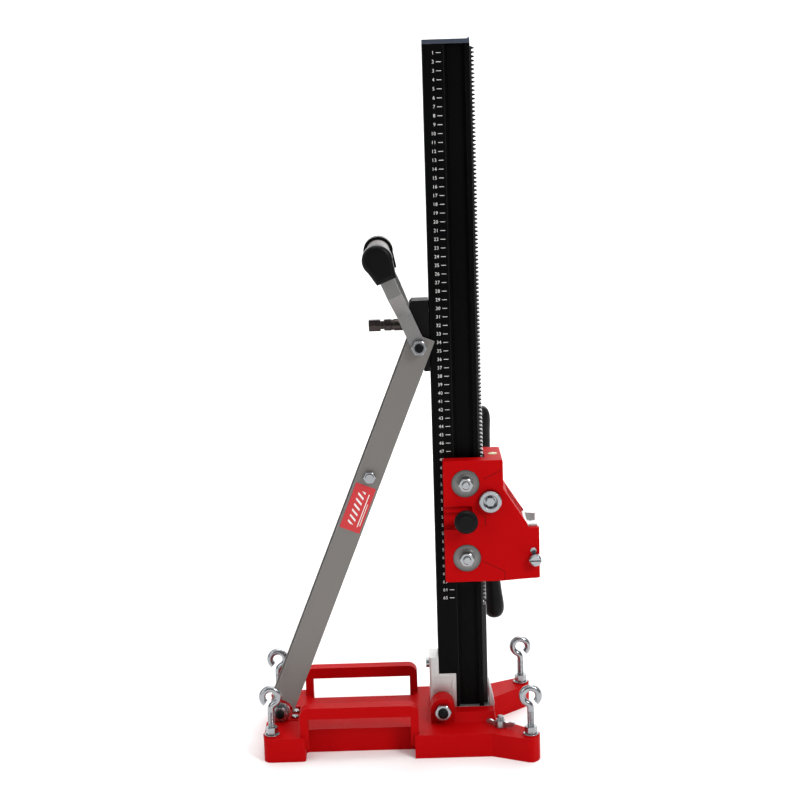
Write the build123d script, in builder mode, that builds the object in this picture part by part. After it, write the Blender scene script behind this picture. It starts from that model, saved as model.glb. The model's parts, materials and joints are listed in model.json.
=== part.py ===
from build123d import *
import math
import os

# Core drill rig: a cast base with two carry handles, a tilting column with a rack,
# a carriage driven by a pinion and a sliding feed bar, and a strut behind the column.
# Origin: underside of the base, on the middle plane, straight below the tilt pivot.
# +X points to the drilling side, +Z up. Millimetres.

# --- base casting ---
base_top = 28.5              # height of the deck
base_wall = 7.0
base_rear_x = -213.5
rear_block_front_x = -164.0
centre_block_rear_x = -34.5
centre_block_front_x = 56.5
base_front_x = 64.0          # front edge between the two arms
base_half_width = 80.5
waist_half_width = 52.0      # side walls behind the carry handles
pocket_depth = 21.0          # hollow of the casting, open below
foot_corner_radius = 9.0
seat_height = 1.0            # machined seats under the levelling nuts
seat_radius = 10.5
lug_outer_radius = 16.3
slot_rear_x = -136.0         # anchor slot
slot_front_x = -62.0
slot_half_width = 7.5

handle_rear_x = -170.0
handle_front_x = -29.5
handle_top = 64.0
handle_bar = 13.5
handle_post = 9.5
handle_inner_y = 60.0
handle_outer_y = 75.5
handle_corner_radius = 11.0

# --- tilt pivot and its cheeks ---
pivot_z = 44.0
pivot_shaft_radius = 6.0
lug_radius = 14.5
cheek_top = 38.5
cheek_outer_y = 43.0
cheek_top_y = 35.0
cheek_rear_x = -14.5
cheek_front_x = 62.0
side_clearance = 0.4         # between parts that swing past each other
pivot_bolt_reach = 6.0       # past each cheek

# --- column ---
column_rear_x = -3.3
column_depth = 54.0
column_half_width = 17.0
column_bottom = 38.5
column_top = 826.5
notch_height = 81.0          # the rear half ends here, above the pivot foot
notch_front_x = 17.5
channel_rear_x = 21.7        # side channels for the guide rollers
channel_front_x = 45.4
channel_depth = 6.5
channel_relief = 1.0
column_wall = 4.0
t_slot_mouth = 10.0
t_slot_width = 18.0
t_slot_lip = 4.0
t_slot_depth = 9.5
cap_thickness = 5.0

# --- rack and pinion ---
gear_module = 1.5
pinion_teeth = 10
pinion_z = 300.0
rack_tip_x = 56.2
rack_half_width = 6.5
rack_seat_depth = 3.0
rack_teeth_bottom = 163.0
rack_top_gap = 3.5
tooth_backlash = 0.35        # taken off the tooth thickness, each gear
pressure_angle = 20.0
tooth_half_width = 8.5
shaft_neck_radius = 8.0
bush_radius = 16.0
bush_inner_y = 20.0
bush_outer_y = 33.0
sleeve_end_y = 44.0          # near end of the pinion's sleeve
hub_start_y = 46.0
spigot_end_y = 70.0
hub_pin_y = 58.0

# --- column foot ---
foot_rear_x = -14.3
foot_top = 101.5
foot_bottom = 31.0
toe_front_x = 63.3
toe_top = 62.0
foot_gap = 0.05              # between the foot and the column it holds
foot_screw_z = 90.0
foot_screw_radius = 3.25
foot_screw_head_radius = 6.0
foot_screw_head = 4.0

# --- carriage ---
carriage_half_width = 36.0
carriage_rear_x = 7.6
carriage_bottom = 201.5
carriage_front_bottom = 204.4
carriage_top = 348.5
carriage_shoulder_x = 78.0
carriage_shoulder_z = 313.5
carriage_nose_x = 105.8
carriage_nose_z = 269.5
carriage_front_x = 119.4
carriage_front_top = 266.0
carriage_clearance = 0.6

roller_x = 33.5
roller_heights = (321.4, 230.9)
roller_radius = 11.5
roller_gap = 0.1             # running gap at the rail that carries the load
roller_width = 5.4
roller_stud_radius = 5.0
roller_disc_radius = 16.2
roller_disc_thickness = 5.0
roller_stud_tip_y = 48.5

knob_x = 33.0
knob_z = 279.5
knob_radius = 13.8
knob_face_y = 58.0
brake_screw_radius = 5.0
brake_gap = 0.6
brake_pad_radius = 9.0
brake_pad_thickness = 5.0
vial_x = 67.7
vial_radius = 5.5
vial_depth = 7.0

plate_rear_x = 100.0
plate_top = 269.5
plate_bottom = 202.0
jaw_inner_y = 17.0
jaw_outer_y = 30.0
machine_hole_spacing_y = 20.0
machine_hole_spacing_z = 36.0
machine_hole_radius = 3.4
clamp_bolt_x = 113.6
clamp_bolt_z = 228.5
clamp_bolt_radius = 4.0
clamp_head_radius = 7.2
clamp_bolt_length = 29.5
plate_web = 6.0
plate_screw_inset = 9.0      # from the plate's upper and lower edge
plate_screw_radius = 2.98
dowel_x = 112.0
dowel_z = 238.0
dowel_radius = 3.48

# --- feed bar ---
journal_radius = 13.0
journal_clearance = 0.05
feed_bar_y = 115.0
feed_bar_radius = 6.0
feed_bar_tilt = 3.0          # degrees, lower end forward
bar_reach_down = 194.0
bar_reach_up = 84.0
bar_grip_length = 66.0
bar_grip_radius = 12.0
hub_radius = 15.5

# --- strut ---
strut_base_x = -196.5
strut_base_z = 40.0
strut_past_top = 12.0
web_start = 34.0
web_end_gap = 96.0
strut_top_x = -16.0
strut_top_z = 483.0
strut_half_width = 15.0
strut_outer_y = 20.5
strut_wall = 3.0
strut_bolt_radius = 5.0
strut_open_hole_radius = 10.0
strut_pocket_z = 23.0        # floor of the pocket that the strut's end swings in
strut_pocket_length = 21.0
strut_pocket_half = 23.8
bracket_screw_x = 16.0
bracket_screw_y = 9.0
bracket_screw_radius = 2.48
bracket_foot = 4.0
strut_washer_radius = 12.0
strut_washer_thickness = 2.0
strut_label_length = 58.0
strut_label_width = 25.0
strut_label_distance = 272.0
cross_bolt_distance = 312.5

# --- tilt clamp ---
block_rear_x = -26.0
block_half_width = 15.0
block_top = 536.0
block_bottom = 452.5
block_gap = 0.4
spindle_z = 506.5
spindle_radius = 7.0
spindle_screw_radius = 5.0
spindle_end_x = -74.0

# --- folding lever ---
lever_bar_width = 17.0
lever_bar_thickness = 4.0
lever_bend_low = 42.0
lever_bend_high = 68.0
lever_foot_y = 20.8
lever_head_y = 42.0
lever_gap = 0.3              # between the lever and the bolt's head and nut
lever_angle = 113.0          # degrees from +X towards +Z
grip_distance = 114.5
grip_radius = 17.3           # of the boots at both ends
sleeve_radius = 14.0
grip_half_length = 40.0
boot_outer_y = 61.0

# --- levelling eye bolts ---
front_screw_x = 102.0
front_screw_y = 85.6
rear_screw_x = -204.0
rear_screw_y = 64.7
eye_wire_radius = 4.0
eye_ring_radius = 9.6
eye_ring_z = 76.5
eye_tip_z = 2.0
eye_bend = 8.0               # bend from the shank into the ring
ring_turn = 293.0            # degrees, how far the ring runs round from the bend
eye_washer_thickness = 1.3

# --- wing nut ---
wing_x = 68.0
wing_y = -60.0
wing_gap = 0.3
wing_stud_radius = 4.0
wing_turn = 25.0

# --- fasteners ---
thread_clearance = 0.05
press_gap = 0.02             # round a screw or pin that sits tight in its hole
pivot_nut_flats = 18.0
pivot_nut_height = 9.0
strut_nut_flats = 16.0
strut_nut_height = 7.0
top_nut_height = 8.0
top_head_height = 6.0
cross_nut_flats = 13.0
cross_nut_height = 6.5
cross_head_height = 5.5
roller_nut_flats = 15.0
roller_nut_height = 7.5
eye_nut_flats = 13.0
eye_nut_height = 8.3
end_cap_radius = 6.2
small_cap_height = 3.6
hub_pin_radius = 2.48
socket_radius = 2.9          # hexagon sockets of the cap screws
socket_depth = 2.5


def finish_piece(piece, name):
    piece.part.label = name
    export_step(piece.part, "parts/" + name + ".step")


def hex_nut(across_flats, height, bore_radius, far_crown=True):
    """Hexagon nut along +Z from the origin, with crowned corners."""
    corner = across_flats / math.sqrt(3) + 0.4
    flat = across_flats / 2
    drop = (corner - flat) * math.tan(math.radians(30))
    with BuildPart() as nut:
        with BuildSketch():
            RegularPolygon(flat, 6, major_radius=False)
            if bore_radius > 0:
                Circle(bore_radius, mode=Mode.SUBTRACT)
        extrude(amount=height)
        with BuildSketch(Plane.XZ):
            with BuildLine():
                Polyline((flat, height), (corner, height), (corner, height - drop), close=True)
            make_face()
            if far_crown:
                with BuildLine():
                    Polyline((flat, 0), (corner, 0), (corner, drop), close=True)
                make_face()
        revolve(axis=Axis.Z, mode=Mode.SUBTRACT)
    return nut.part


def washer(outer_radius, inner_radius, thickness):
    with BuildPart() as ring:
        with BuildSketch():
            Circle(outer_radius)
            Circle(inner_radius, mode=Mode.SUBTRACT)
        extrude(amount=thickness)
        chamfer(ring.edges().filter_by(GeomType.CIRCLE).group_by(SortBy.RADIUS)[-1], 0.3)
    return ring.part


def turned(profile):
    """Solid of revolution round +Z: profile is a list of (distance along Z, radius)."""
    first = profile[0][0]
    last = profile[-1][0]
    with BuildPart() as body:
        with BuildSketch(Plane.XZ):
            with BuildLine():
                Polyline((0, first), *[(r, d) for d, r in profile], (0, last), close=True)
            make_face()
        revolve(axis=Axis.Z)
    return body.part


def along_y(x, z, y=0.0, facing=-1):
    """Plane whose normal points along -Y (facing -1) or +Y (facing 1)."""
    return Plane(origin=(x, y, z), x_dir=(1, 0, 0), z_dir=(0, facing, 0))


def domed_caps(places, radius, height, seat):
    """Round-headed plastic end caps; each place is (x, z, y, facing)."""
    with BuildPart() as cap:
        Cylinder(radius, height, align=(Align.CENTER, Align.CENTER, Align.MIN))
        fillet(cap.faces().sort_by(Axis.Z)[-1].edges(), 0.75 * height)
        if seat > 0:
            with BuildSketch():
                Circle(seat)
            extrude(amount=0.4 * height, mode=Mode.SUBTRACT)
    with BuildPart() as group:
        for x, z, y, facing in places:
            with Locations(along_y(x, z, y, facing).location):
                add(cap.part)
    return group


os.makedirs("parts", exist_ok=True)

sides = (-1, 1)
column_front_x = column_rear_x + column_depth

# ---------------- base casting ----------------
lug_outer_y = front_screw_y + lug_outer_radius
bracket_screw_places = [
    (strut_base_x + bracket_screw_x, side * bracket_screw_y) for side in sides]
with BuildPart() as base:
    with BuildSketch():
        with BuildLine():
            Polyline(
                (base_rear_x, 0),
                (base_rear_x, base_half_width),
                (rear_block_front_x, base_half_width),
                (rear_block_front_x, waist_half_width),
                (centre_block_rear_x, waist_half_width),
                (centre_block_rear_x, base_half_width),
                (centre_block_front_x, base_half_width),
                (front_screw_x - 4, lug_outer_y - 0.8),
                (front_screw_x + 2, lug_outer_y),
                (front_screw_x + 8.5, lug_outer_y - 7),
                (front_screw_x + 10.8, front_screw_y),
                (front_screw_x + 4, front_screw_y - 14),
                (base_front_x, 34),
                (base_front_x, 0),
                close=True,
            )
        make_face()
        mirror(about=Plane.XZ)
    extrude(amount=base_top)
    upright = base.edges().filter_by(Axis.Z)
    rear_corners = upright.filter_by_position(Axis.X, base_rear_x - 1, base_rear_x + 1)
    fillet(rear_corners, foot_corner_radius)
    rear_block_corners = base.edges().filter_by(Axis.Z).filter_by_position(
        Axis.X, rear_block_front_x - 1, rear_block_front_x + 1)
    fillet(rear_block_corners, 4)
    lug_corners = base.edges().filter_by(Axis.Z).filter_by_position(
        Axis.X, front_screw_x + 1, front_screw_x + 12)
    fillet(lug_corners, 5)
    # the two carry handles
    for side in sides:
        with BuildSketch(Plane.XZ.offset(-side * handle_outer_y)):
            with BuildLine():
                Polyline(
                    (handle_rear_x, 0.5 * base_top),
                    (handle_rear_x, handle_top),
                    (handle_front_x, handle_top),
                    (handle_front_x, 0.5 * base_top),
                    close=True,
                )
            make_face()
            with Locations(((handle_rear_x + handle_front_x) / 2, 0)):
                Rectangle(
                    handle_front_x - handle_rear_x - 2 * handle_post,
                    2 * (handle_top - handle_bar),
                    mode=Mode.SUBTRACT,
                )
        extrude(amount=side * (handle_outer_y - handle_inner_y))
    top_corners = base.edges().filter_by(Axis.Y).group_by(Axis.Z)[-1]
    fillet(top_corners, handle_corner_radius)
    # cheeks of the tilt pivot, with sloping sides
    with BuildSketch(Plane.YZ.offset(cheek_rear_x)):
        with BuildLine():
            Polyline(
                (-cheek_outer_y, base_top - 1),
                (-cheek_outer_y, base_top),
                (-cheek_top_y, cheek_top),
                (cheek_top_y, cheek_top),
                (cheek_outer_y, base_top),
                (cheek_outer_y, base_top - 1),
                close=True,
            )
        make_face()
    extrude(amount=cheek_front_x - cheek_rear_x)
    with BuildSketch(Plane.XZ.offset(cheek_outer_y)):
        with Locations((0, pivot_z)):
            Circle(lug_radius)
        with Locations((0, (pivot_z + base_top) / 2)):
            Rectangle(2 * lug_radius, pivot_z - base_top)
    extrude(amount=-2 * cheek_outer_y)
    pocket_half = column_half_width + side_clearance
    with Locations(((foot_rear_x - 4.2 + base_front_x + 5) / 2, 0, foot_bottom - 2.5)):
        Box(
            base_front_x + 5 - foot_rear_x + 4.2,
            2 * pocket_half,
            60,
            align=(Align.CENTER, Align.CENTER, Align.MIN),
            mode=Mode.SUBTRACT,
        )
    with BuildSketch(Plane.XZ.offset(cheek_outer_y)):
        with Locations((0, pivot_z)):
            Circle(pivot_shaft_radius + thread_clearance)
    extrude(amount=-2 * cheek_outer_y, mode=Mode.SUBTRACT)
    # the foot's rear corner and the strut's end swing through these two pockets
    with BuildSketch(Plane.XZ.offset(pocket_half)):
        with Locations((0, pivot_z)):
            Circle(math.hypot(foot_rear_x, pivot_z - foot_bottom) + 0.8)
    extrude(amount=-2 * pocket_half, mode=Mode.SUBTRACT)
    with BuildSketch(Plane.XY.offset(strut_pocket_z)):
        with Locations((strut_base_x, 0)):
            Rectangle(2 * strut_pocket_length, 2 * strut_pocket_half)
    extrude(amount=base_top, mode=Mode.SUBTRACT)
    # seats and threads of the four levelling screws
    screw_places = [
        (front_screw_x, side * front_screw_y) for side in sides
    ] + [
        (rear_screw_x, side * rear_screw_y) for side in sides
    ]
    with BuildSketch(Plane.XY.offset(base_top - 1)):
        with Locations(*screw_places):
            Circle(seat_radius)
    extrude(amount=seat_height + 1)
    # hollow underside
    with BuildSketch():
        with Locations(((rear_block_front_x + centre_block_rear_x) / 2, 0)):
            Rectangle(centre_block_rear_x - rear_block_front_x, 2 * (waist_half_width - base_wall))
        for side in sides:
            rear_pocket_y = (strut_pocket_half + waist_half_width) / 2
            with Locations(((base_rear_x + rear_block_front_x) / 2, side * rear_pocket_y)):
                Rectangle(
                    rear_block_front_x - base_rear_x - 2 * base_wall,
                    waist_half_width - strut_pocket_half - base_wall,
                )
            with Locations(((centre_block_rear_x + centre_block_front_x) / 2, side * 51)):
                Rectangle(centre_block_front_x - centre_block_rear_x - 2 * base_wall, 44)
    extrude(amount=pocket_depth, mode=Mode.SUBTRACT)
    # anchor slot through the deck
    with BuildSketch():
        with Locations(((slot_rear_x + slot_front_x) / 2, 0)):
            SlotOverall(slot_front_x - slot_rear_x, 2 * slot_half_width)
    extrude(amount=base_top, mode=Mode.SUBTRACT)
    with BuildSketch():
        with Locations(*screw_places):
            Circle(eye_wire_radius + thread_clearance)
    extrude(amount=base_top + seat_height, mode=Mode.SUBTRACT)
    # stud hole of the wing nut and the two tapped holes of the strut bracket
    with BuildSketch():
        with Locations((wing_x, wing_y)):
            Circle(wing_stud_radius)
        with Locations(*bracket_screw_places):
            Circle(bracket_screw_radius + press_gap)
    extrude(amount=base_top, mode=Mode.SUBTRACT)
finish_piece(base, "base_casting")

# ---------------- tilt pivot ----------------
with BuildPart() as pivot_bolt:
    with BuildSketch(along_y(0, pivot_z, cheek_outer_y + pivot_bolt_reach, -1)):
        Circle(pivot_shaft_radius)
    extrude(amount=2 * (cheek_outer_y + pivot_bolt_reach))
finish_piece(pivot_bolt, "pivot_bolt")

nut_shape = hex_nut(pivot_nut_flats, pivot_nut_height, pivot_shaft_radius)
with BuildPart() as pivot_nuts:
    for side in sides:
        with Locations(along_y(0, pivot_z, side * cheek_outer_y, side).location):
            add(nut_shape)
finish_piece(pivot_nuts, "pivot_nuts")

cap_start = cheek_outer_y + pivot_nut_height
pivot_caps = domed_caps(
    [(0, pivot_z, side * cap_start, side) for side in sides], end_cap_radius, 4.5, 0)
finish_piece(pivot_caps, "pivot_caps")

# ---------------- column ----------------
rear_edge = column_rear_x
half = column_half_width
channel_floor = half - channel_depth
with BuildPart() as column:
    with BuildSketch(Plane.XY.offset(column_bottom)):
        with Locations((rear_edge + column_depth / 2, 0)):
            RectangleRounded(column_depth, 2 * half, 1.5)
        for side in sides:
            middle = (channel_rear_x + channel_front_x) / 2
            with Locations((middle, side * (half - channel_depth / 2 + 1))):
                Rectangle(channel_front_x - channel_rear_x, channel_depth + 2, mode=Mode.SUBTRACT)
            for relief_x in (channel_rear_x + 1.7, channel_front_x - 1.9):
                with Locations((relief_x, side * (channel_floor - channel_relief / 2))):
                    Rectangle(3.4, channel_relief + 0.2, mode=Mode.SUBTRACT)
        # slot in the rear face for the tilt clamp
        with Locations((rear_edge + t_slot_lip / 2, 0)):
            Rectangle(t_slot_lip + 1, t_slot_mouth, mode=Mode.SUBTRACT)
        with Locations((rear_edge + (t_slot_lip + t_slot_depth) / 2, 0)):
            Rectangle(t_slot_depth - t_slot_lip, t_slot_width, mode=Mode.SUBTRACT)
        # hollow chambers
        with Locations((rear_edge + t_slot_depth + column_wall + 2.4, 0)):
            Rectangle(8, 2 * (half - column_wall), mode=Mode.SUBTRACT)
        with Locations(((channel_rear_x + channel_front_x) / 2, 0)):
            Rectangle(14, 2 * (channel_floor - column_wall), mode=Mode.SUBTRACT)
        # seat of the rack
        with Locations((column_front_x, 0)):
            Rectangle(2 * rack_seat_depth, 2 * rack_half_width, mode=Mode.SUBTRACT)
    extrude(amount=column_top - column_bottom)
    with BuildSketch(Plane.XY.offset(column_bottom)):
        with Locations(((rear_edge + notch_front_x) / 2 - 5, 0)):
            Rectangle(notch_front_x - rear_edge + 10, 2 * half + 2)
    extrude(amount=notch_height - column_bottom, mode=Mode.SUBTRACT)
finish_piece(column, "column_extrusion")

with BuildPart() as cap:
    with BuildSketch(Plane.XY.offset(column_top)):
        with Locations((rear_edge + column_depth / 2, 0)):
            RectangleRounded(column_depth, 2 * half, 1.5)
    extrude(amount=cap_thickness)
    with BuildSketch(Plane.XY.offset(column_top + cap_thickness)):
        with Locations((column_front_x - 1, 0)):
            Rectangle(2, 2 * half - 4)
    extrude(amount=1.2)
    with BuildSketch(Plane.XY.offset(column_top)):
        with Locations(((channel_rear_x + channel_front_x) / 2, 0)):
            Rectangle(13.6, 2 * (channel_floor - column_wall) - 0.4)
    extrude(amount=-8)
finish_piece(cap, "column_cap")

# ---------------- rack ----------------
pitch = math.pi * gear_module
rack_root_x = rack_tip_x - 2.25 * gear_module
pitch_line_x = rack_tip_x - gear_module
pinion_x = pitch_line_x + gear_module * pinion_teeth / 2
rack_top = column_top - rack_top_gap
slope = math.tan(math.radians(pressure_angle))
half_at_pitch = pitch / 4 - tooth_backlash / 2
half_at_tip = half_at_pitch - gear_module * slope
half_at_root = half_at_pitch + 1.25 * gear_module * slope
first_tooth = math.ceil((rack_teeth_bottom - pinion_z) / pitch + 0.5)
last_tooth = math.floor((rack_top - half_at_root - pinion_z) / pitch - 0.5)
with BuildPart() as rack:
    with BuildSketch(Plane.XZ.offset(-rack_half_width)):
        with BuildLine():
            outline = [
                (column_front_x - rack_seat_depth, column_bottom + 1),
                (rack_tip_x, column_bottom + 1),
                (rack_tip_x, rack_teeth_bottom),
                (rack_root_x, rack_teeth_bottom),
            ]
            for tooth in range(first_tooth, last_tooth + 1):
                z = pinion_z + (tooth + 0.5) * pitch
                outline += [
                    (rack_root_x, z - half_at_root),
                    (rack_tip_x, z - half_at_tip),
                    (rack_tip_x, z + half_at_tip),
                    (rack_root_x, z + half_at_root),
                ]
            outline += [(rack_root_x, rack_top), (column_front_x - rack_seat_depth, rack_top)]
            Polyline(*outline, close=True)
        make_face()
    extrude(amount=2 * rack_half_width)
finish_piece(rack, "gear_rack")

# ---------------- column foot ----------------
with BuildPart() as foot:
    with BuildSketch(Plane.XZ.offset(-half)):
        with BuildLine():
            Polyline(
                (foot_rear_x, foot_bottom),
                (foot_rear_x, foot_top),
                (rear_edge - foot_gap, foot_top),
                (rear_edge - foot_gap, notch_height - foot_gap),
                (notch_front_x - foot_gap, notch_height - foot_gap),
                (notch_front_x - foot_gap, column_bottom - foot_gap),
                (rack_tip_x + 1.0, column_bottom - foot_gap),
                (rack_tip_x + 1.0, toe_top),
                (rack_tip_x + 2.6, toe_top),
                (toe_front_x, column_bottom + 3),
                (toe_front_x - 1, foot_bottom + 2),
                (toe_front_x - 5, foot_bottom),
                close=True,
            )
        make_face()
    extrude(amount=2 * half)
    toe_edges = foot.edges().filter_by(Axis.Z).filter_by_position(Axis.X, foot_rear_x - 1, foot_rear_x + 1)
    fillet(toe_edges, 2.5)
    with BuildSketch(Plane.XZ.offset(-half)):
        with Locations((0, pivot_z)):
            Circle(pivot_shaft_radius + thread_clearance)
    extrude(amount=2 * half, mode=Mode.SUBTRACT)
    # shallow panels on both flanks
    for side in sides:
        with BuildSketch(along_y(1.0, 66, side * half, -side)):
            Rectangle(22, 21)
        extrude(amount=0.8, mode=Mode.SUBTRACT)
    # screw hole in the rear plate
    with BuildSketch(Plane.YZ.offset(foot_rear_x)):
        with Locations((0, foot_screw_z)):
            Circle(foot_screw_radius + thread_clearance)
    extrude(amount=rear_edge - foot_rear_x, mode=Mode.SUBTRACT)
finish_piece(foot, "column_foot")

with BuildPart() as foot_screw:
    with BuildSketch(Plane.YZ.offset(foot_rear_x)):
        with Locations((0, foot_screw_z)):
            Circle(foot_screw_radius)
    extrude(amount=rear_edge - foot_rear_x + t_slot_lip + 4)
    with BuildSketch(Plane.YZ.offset(foot_rear_x)):
        with Locations((0, foot_screw_z)):
            Circle(foot_screw_head_radius)
    extrude(amount=-foot_screw_head)
    with BuildSketch(Plane.YZ.offset(foot_rear_x - foot_screw_head)):
        with Locations((0, foot_screw_z)):
            RegularPolygon(socket_radius, 6)
    extrude(amount=socket_depth, mode=Mode.SUBTRACT)
finish_piece(foot_screw, "foot_screw")

# ---------------- strut ----------------
strut_angle = math.atan2(strut_top_z - strut_base_z, strut_top_x - strut_base_x)
strut_length = math.hypot(strut_top_z - strut_base_z, strut_top_x - strut_base_x)
strut_dir = Vector(math.cos(strut_angle), 0, math.sin(strut_angle))
strut_plane = Plane(
    origin=(strut_base_x, 0, strut_base_z), x_dir=strut_dir, z_dir=(0, -1, 0))
with BuildPart() as strut:
    for side in sides:
        with BuildSketch(strut_plane.offset(-side * strut_outer_y)):
            with BuildLine():
                l1 = Line((0, -strut_half_width), (strut_length + strut_past_top, -strut_half_width))
                l2 = Line(l1 @ 1, (strut_length + strut_past_top, strut_half_width))
                l3 = Line(l2 @ 1, (0, strut_half_width))
                RadiusArc(l3 @ 1, l1 @ 0, strut_half_width)
            make_face()
            Circle(strut_open_hole_radius, mode=Mode.SUBTRACT)
            with Locations((strut_length, 0), (cross_bolt_distance, 0)):
                Circle(strut_bolt_radius + thread_clearance, mode=Mode.SUBTRACT)
        extrude(amount=side * strut_wall)
    with BuildSketch(strut_plane.offset(-strut_outer_y)):
        web_length = strut_length - web_end_gap - web_start
        with Locations((web_start + web_length / 2, -strut_half_width + strut_wall / 2)):
            Rectangle(web_length, strut_wall)
    extrude(amount=2 * strut_outer_y)
finish_piece(strut, "strut_channel")

with BuildPart() as label_plate:
    with BuildSketch(strut_plane.offset(strut_outer_y)):
        with Locations((strut_label_distance, 0)):
            RectangleRounded(strut_label_length, strut_label_width, 1)
    extrude(amount=0.5)
finish_piece(label_plate, "label_plate")

# bracket and pivot at the strut's lower end
bracket_half = strut_outer_y - strut_wall - side_clearance
with BuildPart() as bracket:
    with BuildSketch(Plane.XZ.offset(-bracket_half)):
        with Locations((strut_base_x, strut_base_z)):
            Circle(9)
        with BuildLine():
            Polyline(
                (strut_base_x - 9, strut_base_z),
                (strut_base_x + 9, strut_base_z),
                (strut_base_x + 9, strut_pocket_z + bracket_foot),
                (strut_base_x + 20.5, strut_pocket_z + bracket_foot),
                (strut_base_x + 20.5, strut_pocket_z),
                (strut_base_x - 14, strut_pocket_z),
                close=True,
            )
        make_face()
        with Locations((strut_base_x, strut_base_z)):
            Circle(strut_bolt_radius + thread_clearance, mode=Mode.SUBTRACT)
    extrude(amount=2 * bracket_half)
    with BuildSketch(Plane.XY.offset(strut_pocket_z)):
        with Locations(*bracket_screw_places):
            Circle(bracket_screw_radius + press_gap)
    extrude(amount=bracket_foot, mode=Mode.SUBTRACT)
finish_piece(bracket, "strut_bracket")

strut_washer = washer(
    strut_washer_radius, strut_bolt_radius + thread_clearance, strut_washer_thickness)
strut_nut = hex_nut(strut_nut_flats, strut_nut_height, strut_bolt_radius)
base_washer_y = strut_outer_y + side_clearance
base_nut_y = base_washer_y + strut_washer_thickness
with BuildPart() as strut_base_bolt:
    with BuildSketch(along_y(strut_base_x, strut_base_z, base_nut_y, -1)):
        Circle(strut_bolt_radius)
    extrude(amount=2 * base_nut_y + strut_nut_height)
    with BuildSketch(along_y(strut_base_x, strut_base_z, base_nut_y, 1)):
        Circle(8.5)
    extrude(amount=6)
finish_piece(strut_base_bolt, "strut_base_bolt")

with BuildPart() as strut_base_washers:
    for side in sides:
        with Locations(along_y(strut_base_x, strut_base_z, side * base_washer_y, side).location):
            add(strut_washer)
finish_piece(strut_base_washers, "strut_base_washers")

with BuildPart() as strut_base_nut:
    with Locations(along_y(strut_base_x, strut_base_z, -base_nut_y, -1).location):
        add(strut_nut)
finish_piece(strut_base_nut, "strut_base_nut")

# cross bolt with its spacer tube
cross_x = strut_base_x + cross_bolt_distance * math.cos(strut_angle)
cross_z = strut_base_z + cross_bolt_distance * math.sin(strut_angle)
inner_y = strut_outer_y - strut_wall
cross_nut_shape = hex_nut(cross_nut_flats, cross_nut_height, strut_bolt_radius)
cross_head = hex_nut(cross_nut_flats, cross_head_height, 0)
with BuildPart() as cross_bolt:
    with BuildSketch(along_y(cross_x, cross_z, strut_outer_y, -1)):
        Circle(strut_bolt_radius)
    extrude(amount=2 * strut_outer_y + cross_nut_height + 2.5)
    with Locations(along_y(cross_x, cross_z, strut_outer_y, 1).location):
        add(cross_head)
finish_piece(cross_bolt, "strut_cross_bolt")
with BuildPart() as cross_nut:
    with Locations(along_y(cross_x, cross_z, -strut_outer_y, -1).location):
        add(cross_nut_shape)
finish_piece(cross_nut, "strut_cross_nut")
with BuildPart() as spacer:
    with BuildSketch(along_y(cross_x, cross_z, inner_y, -1)):
        Circle(7.5)
        Circle(strut_bolt_radius + thread_clearance, mode=Mode.SUBTRACT)
    extrude(amount=2 * inner_y)
finish_piece(spacer, "strut_spacer")

# ---------------- tilt clamp ----------------
block_front_x = rear_edge - block_gap
with BuildPart() as block:
    with BuildSketch(Plane.XZ.offset(-block_half_width)):
        with BuildLine():
            Polyline(
                (block_front_x, block_bottom),
                (block_front_x, block_top),
                (block_rear_x + 3, block_top),
                (block_rear_x, block_top - 3.5),
                (block_rear_x, block_bottom + 21.5),
                (block_rear_x + 9, block_bottom + 13.5),
                (block_front_x - 7, block_bottom + 9.5),
                (block_front_x - 7, block_bottom),
                close=True,
            )
        make_face()
        with Locations((strut_top_x, strut_top_z)):
            Circle(strut_bolt_radius + thread_clearance, mode=Mode.SUBTRACT)
    extrude(amount=2 * block_half_width)
    with BuildSketch(Plane.YZ.offset(block_rear_x)):
        with Locations((0, spindle_z)):
            Circle(spindle_screw_radius + thread_clearance)
    extrude(amount=block_front_x - block_rear_x, mode=Mode.SUBTRACT)
    # guide rib that runs in the mouth of the column's slot, and its foot inside the slot
    with BuildSketch(Plane.XY.offset(block_bottom + 4)):
        with Locations((rear_edge + t_slot_lip / 2 - 0.2, 0)):
            Rectangle(t_slot_lip + 1.6, t_slot_mouth - 2)
        with Locations((rear_edge + (t_slot_lip + t_slot_depth) / 2, 0)):
            Rectangle(t_slot_depth - t_slot_lip - 0.8, t_slot_width - 2)
    extrude(amount=34)
finish_piece(block, "clamp_block")

hex_end_length = 14.0
hex_end = hex_nut(13.4, hex_end_length, 0)
spindle_shoulder = block_rear_x - spindle_end_x - 1.0
spindle_shank = turned([
    (hex_end_length, 5.0),
    (17.5, 5.0),
    (18.5, spindle_radius - 0.2),
    (26, spindle_radius),
    (27, spindle_radius - 0.7),
    (29, spindle_radius - 0.7),
    (30, spindle_radius),
    (spindle_shoulder, spindle_radius),
    (spindle_shoulder, spindle_screw_radius),
    (block_front_x - spindle_end_x, spindle_screw_radius),
])
spindle_axis = Plane(origin=(spindle_end_x, 0, spindle_z), x_dir=(0, 1, 0), z_dir=(1, 0, 0))
with BuildPart() as spindle:
    with Locations(spindle_axis.location):
        add(spindle_shank)
        add(hex_end)
finish_piece(spindle, "clamp_spindle")

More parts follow.
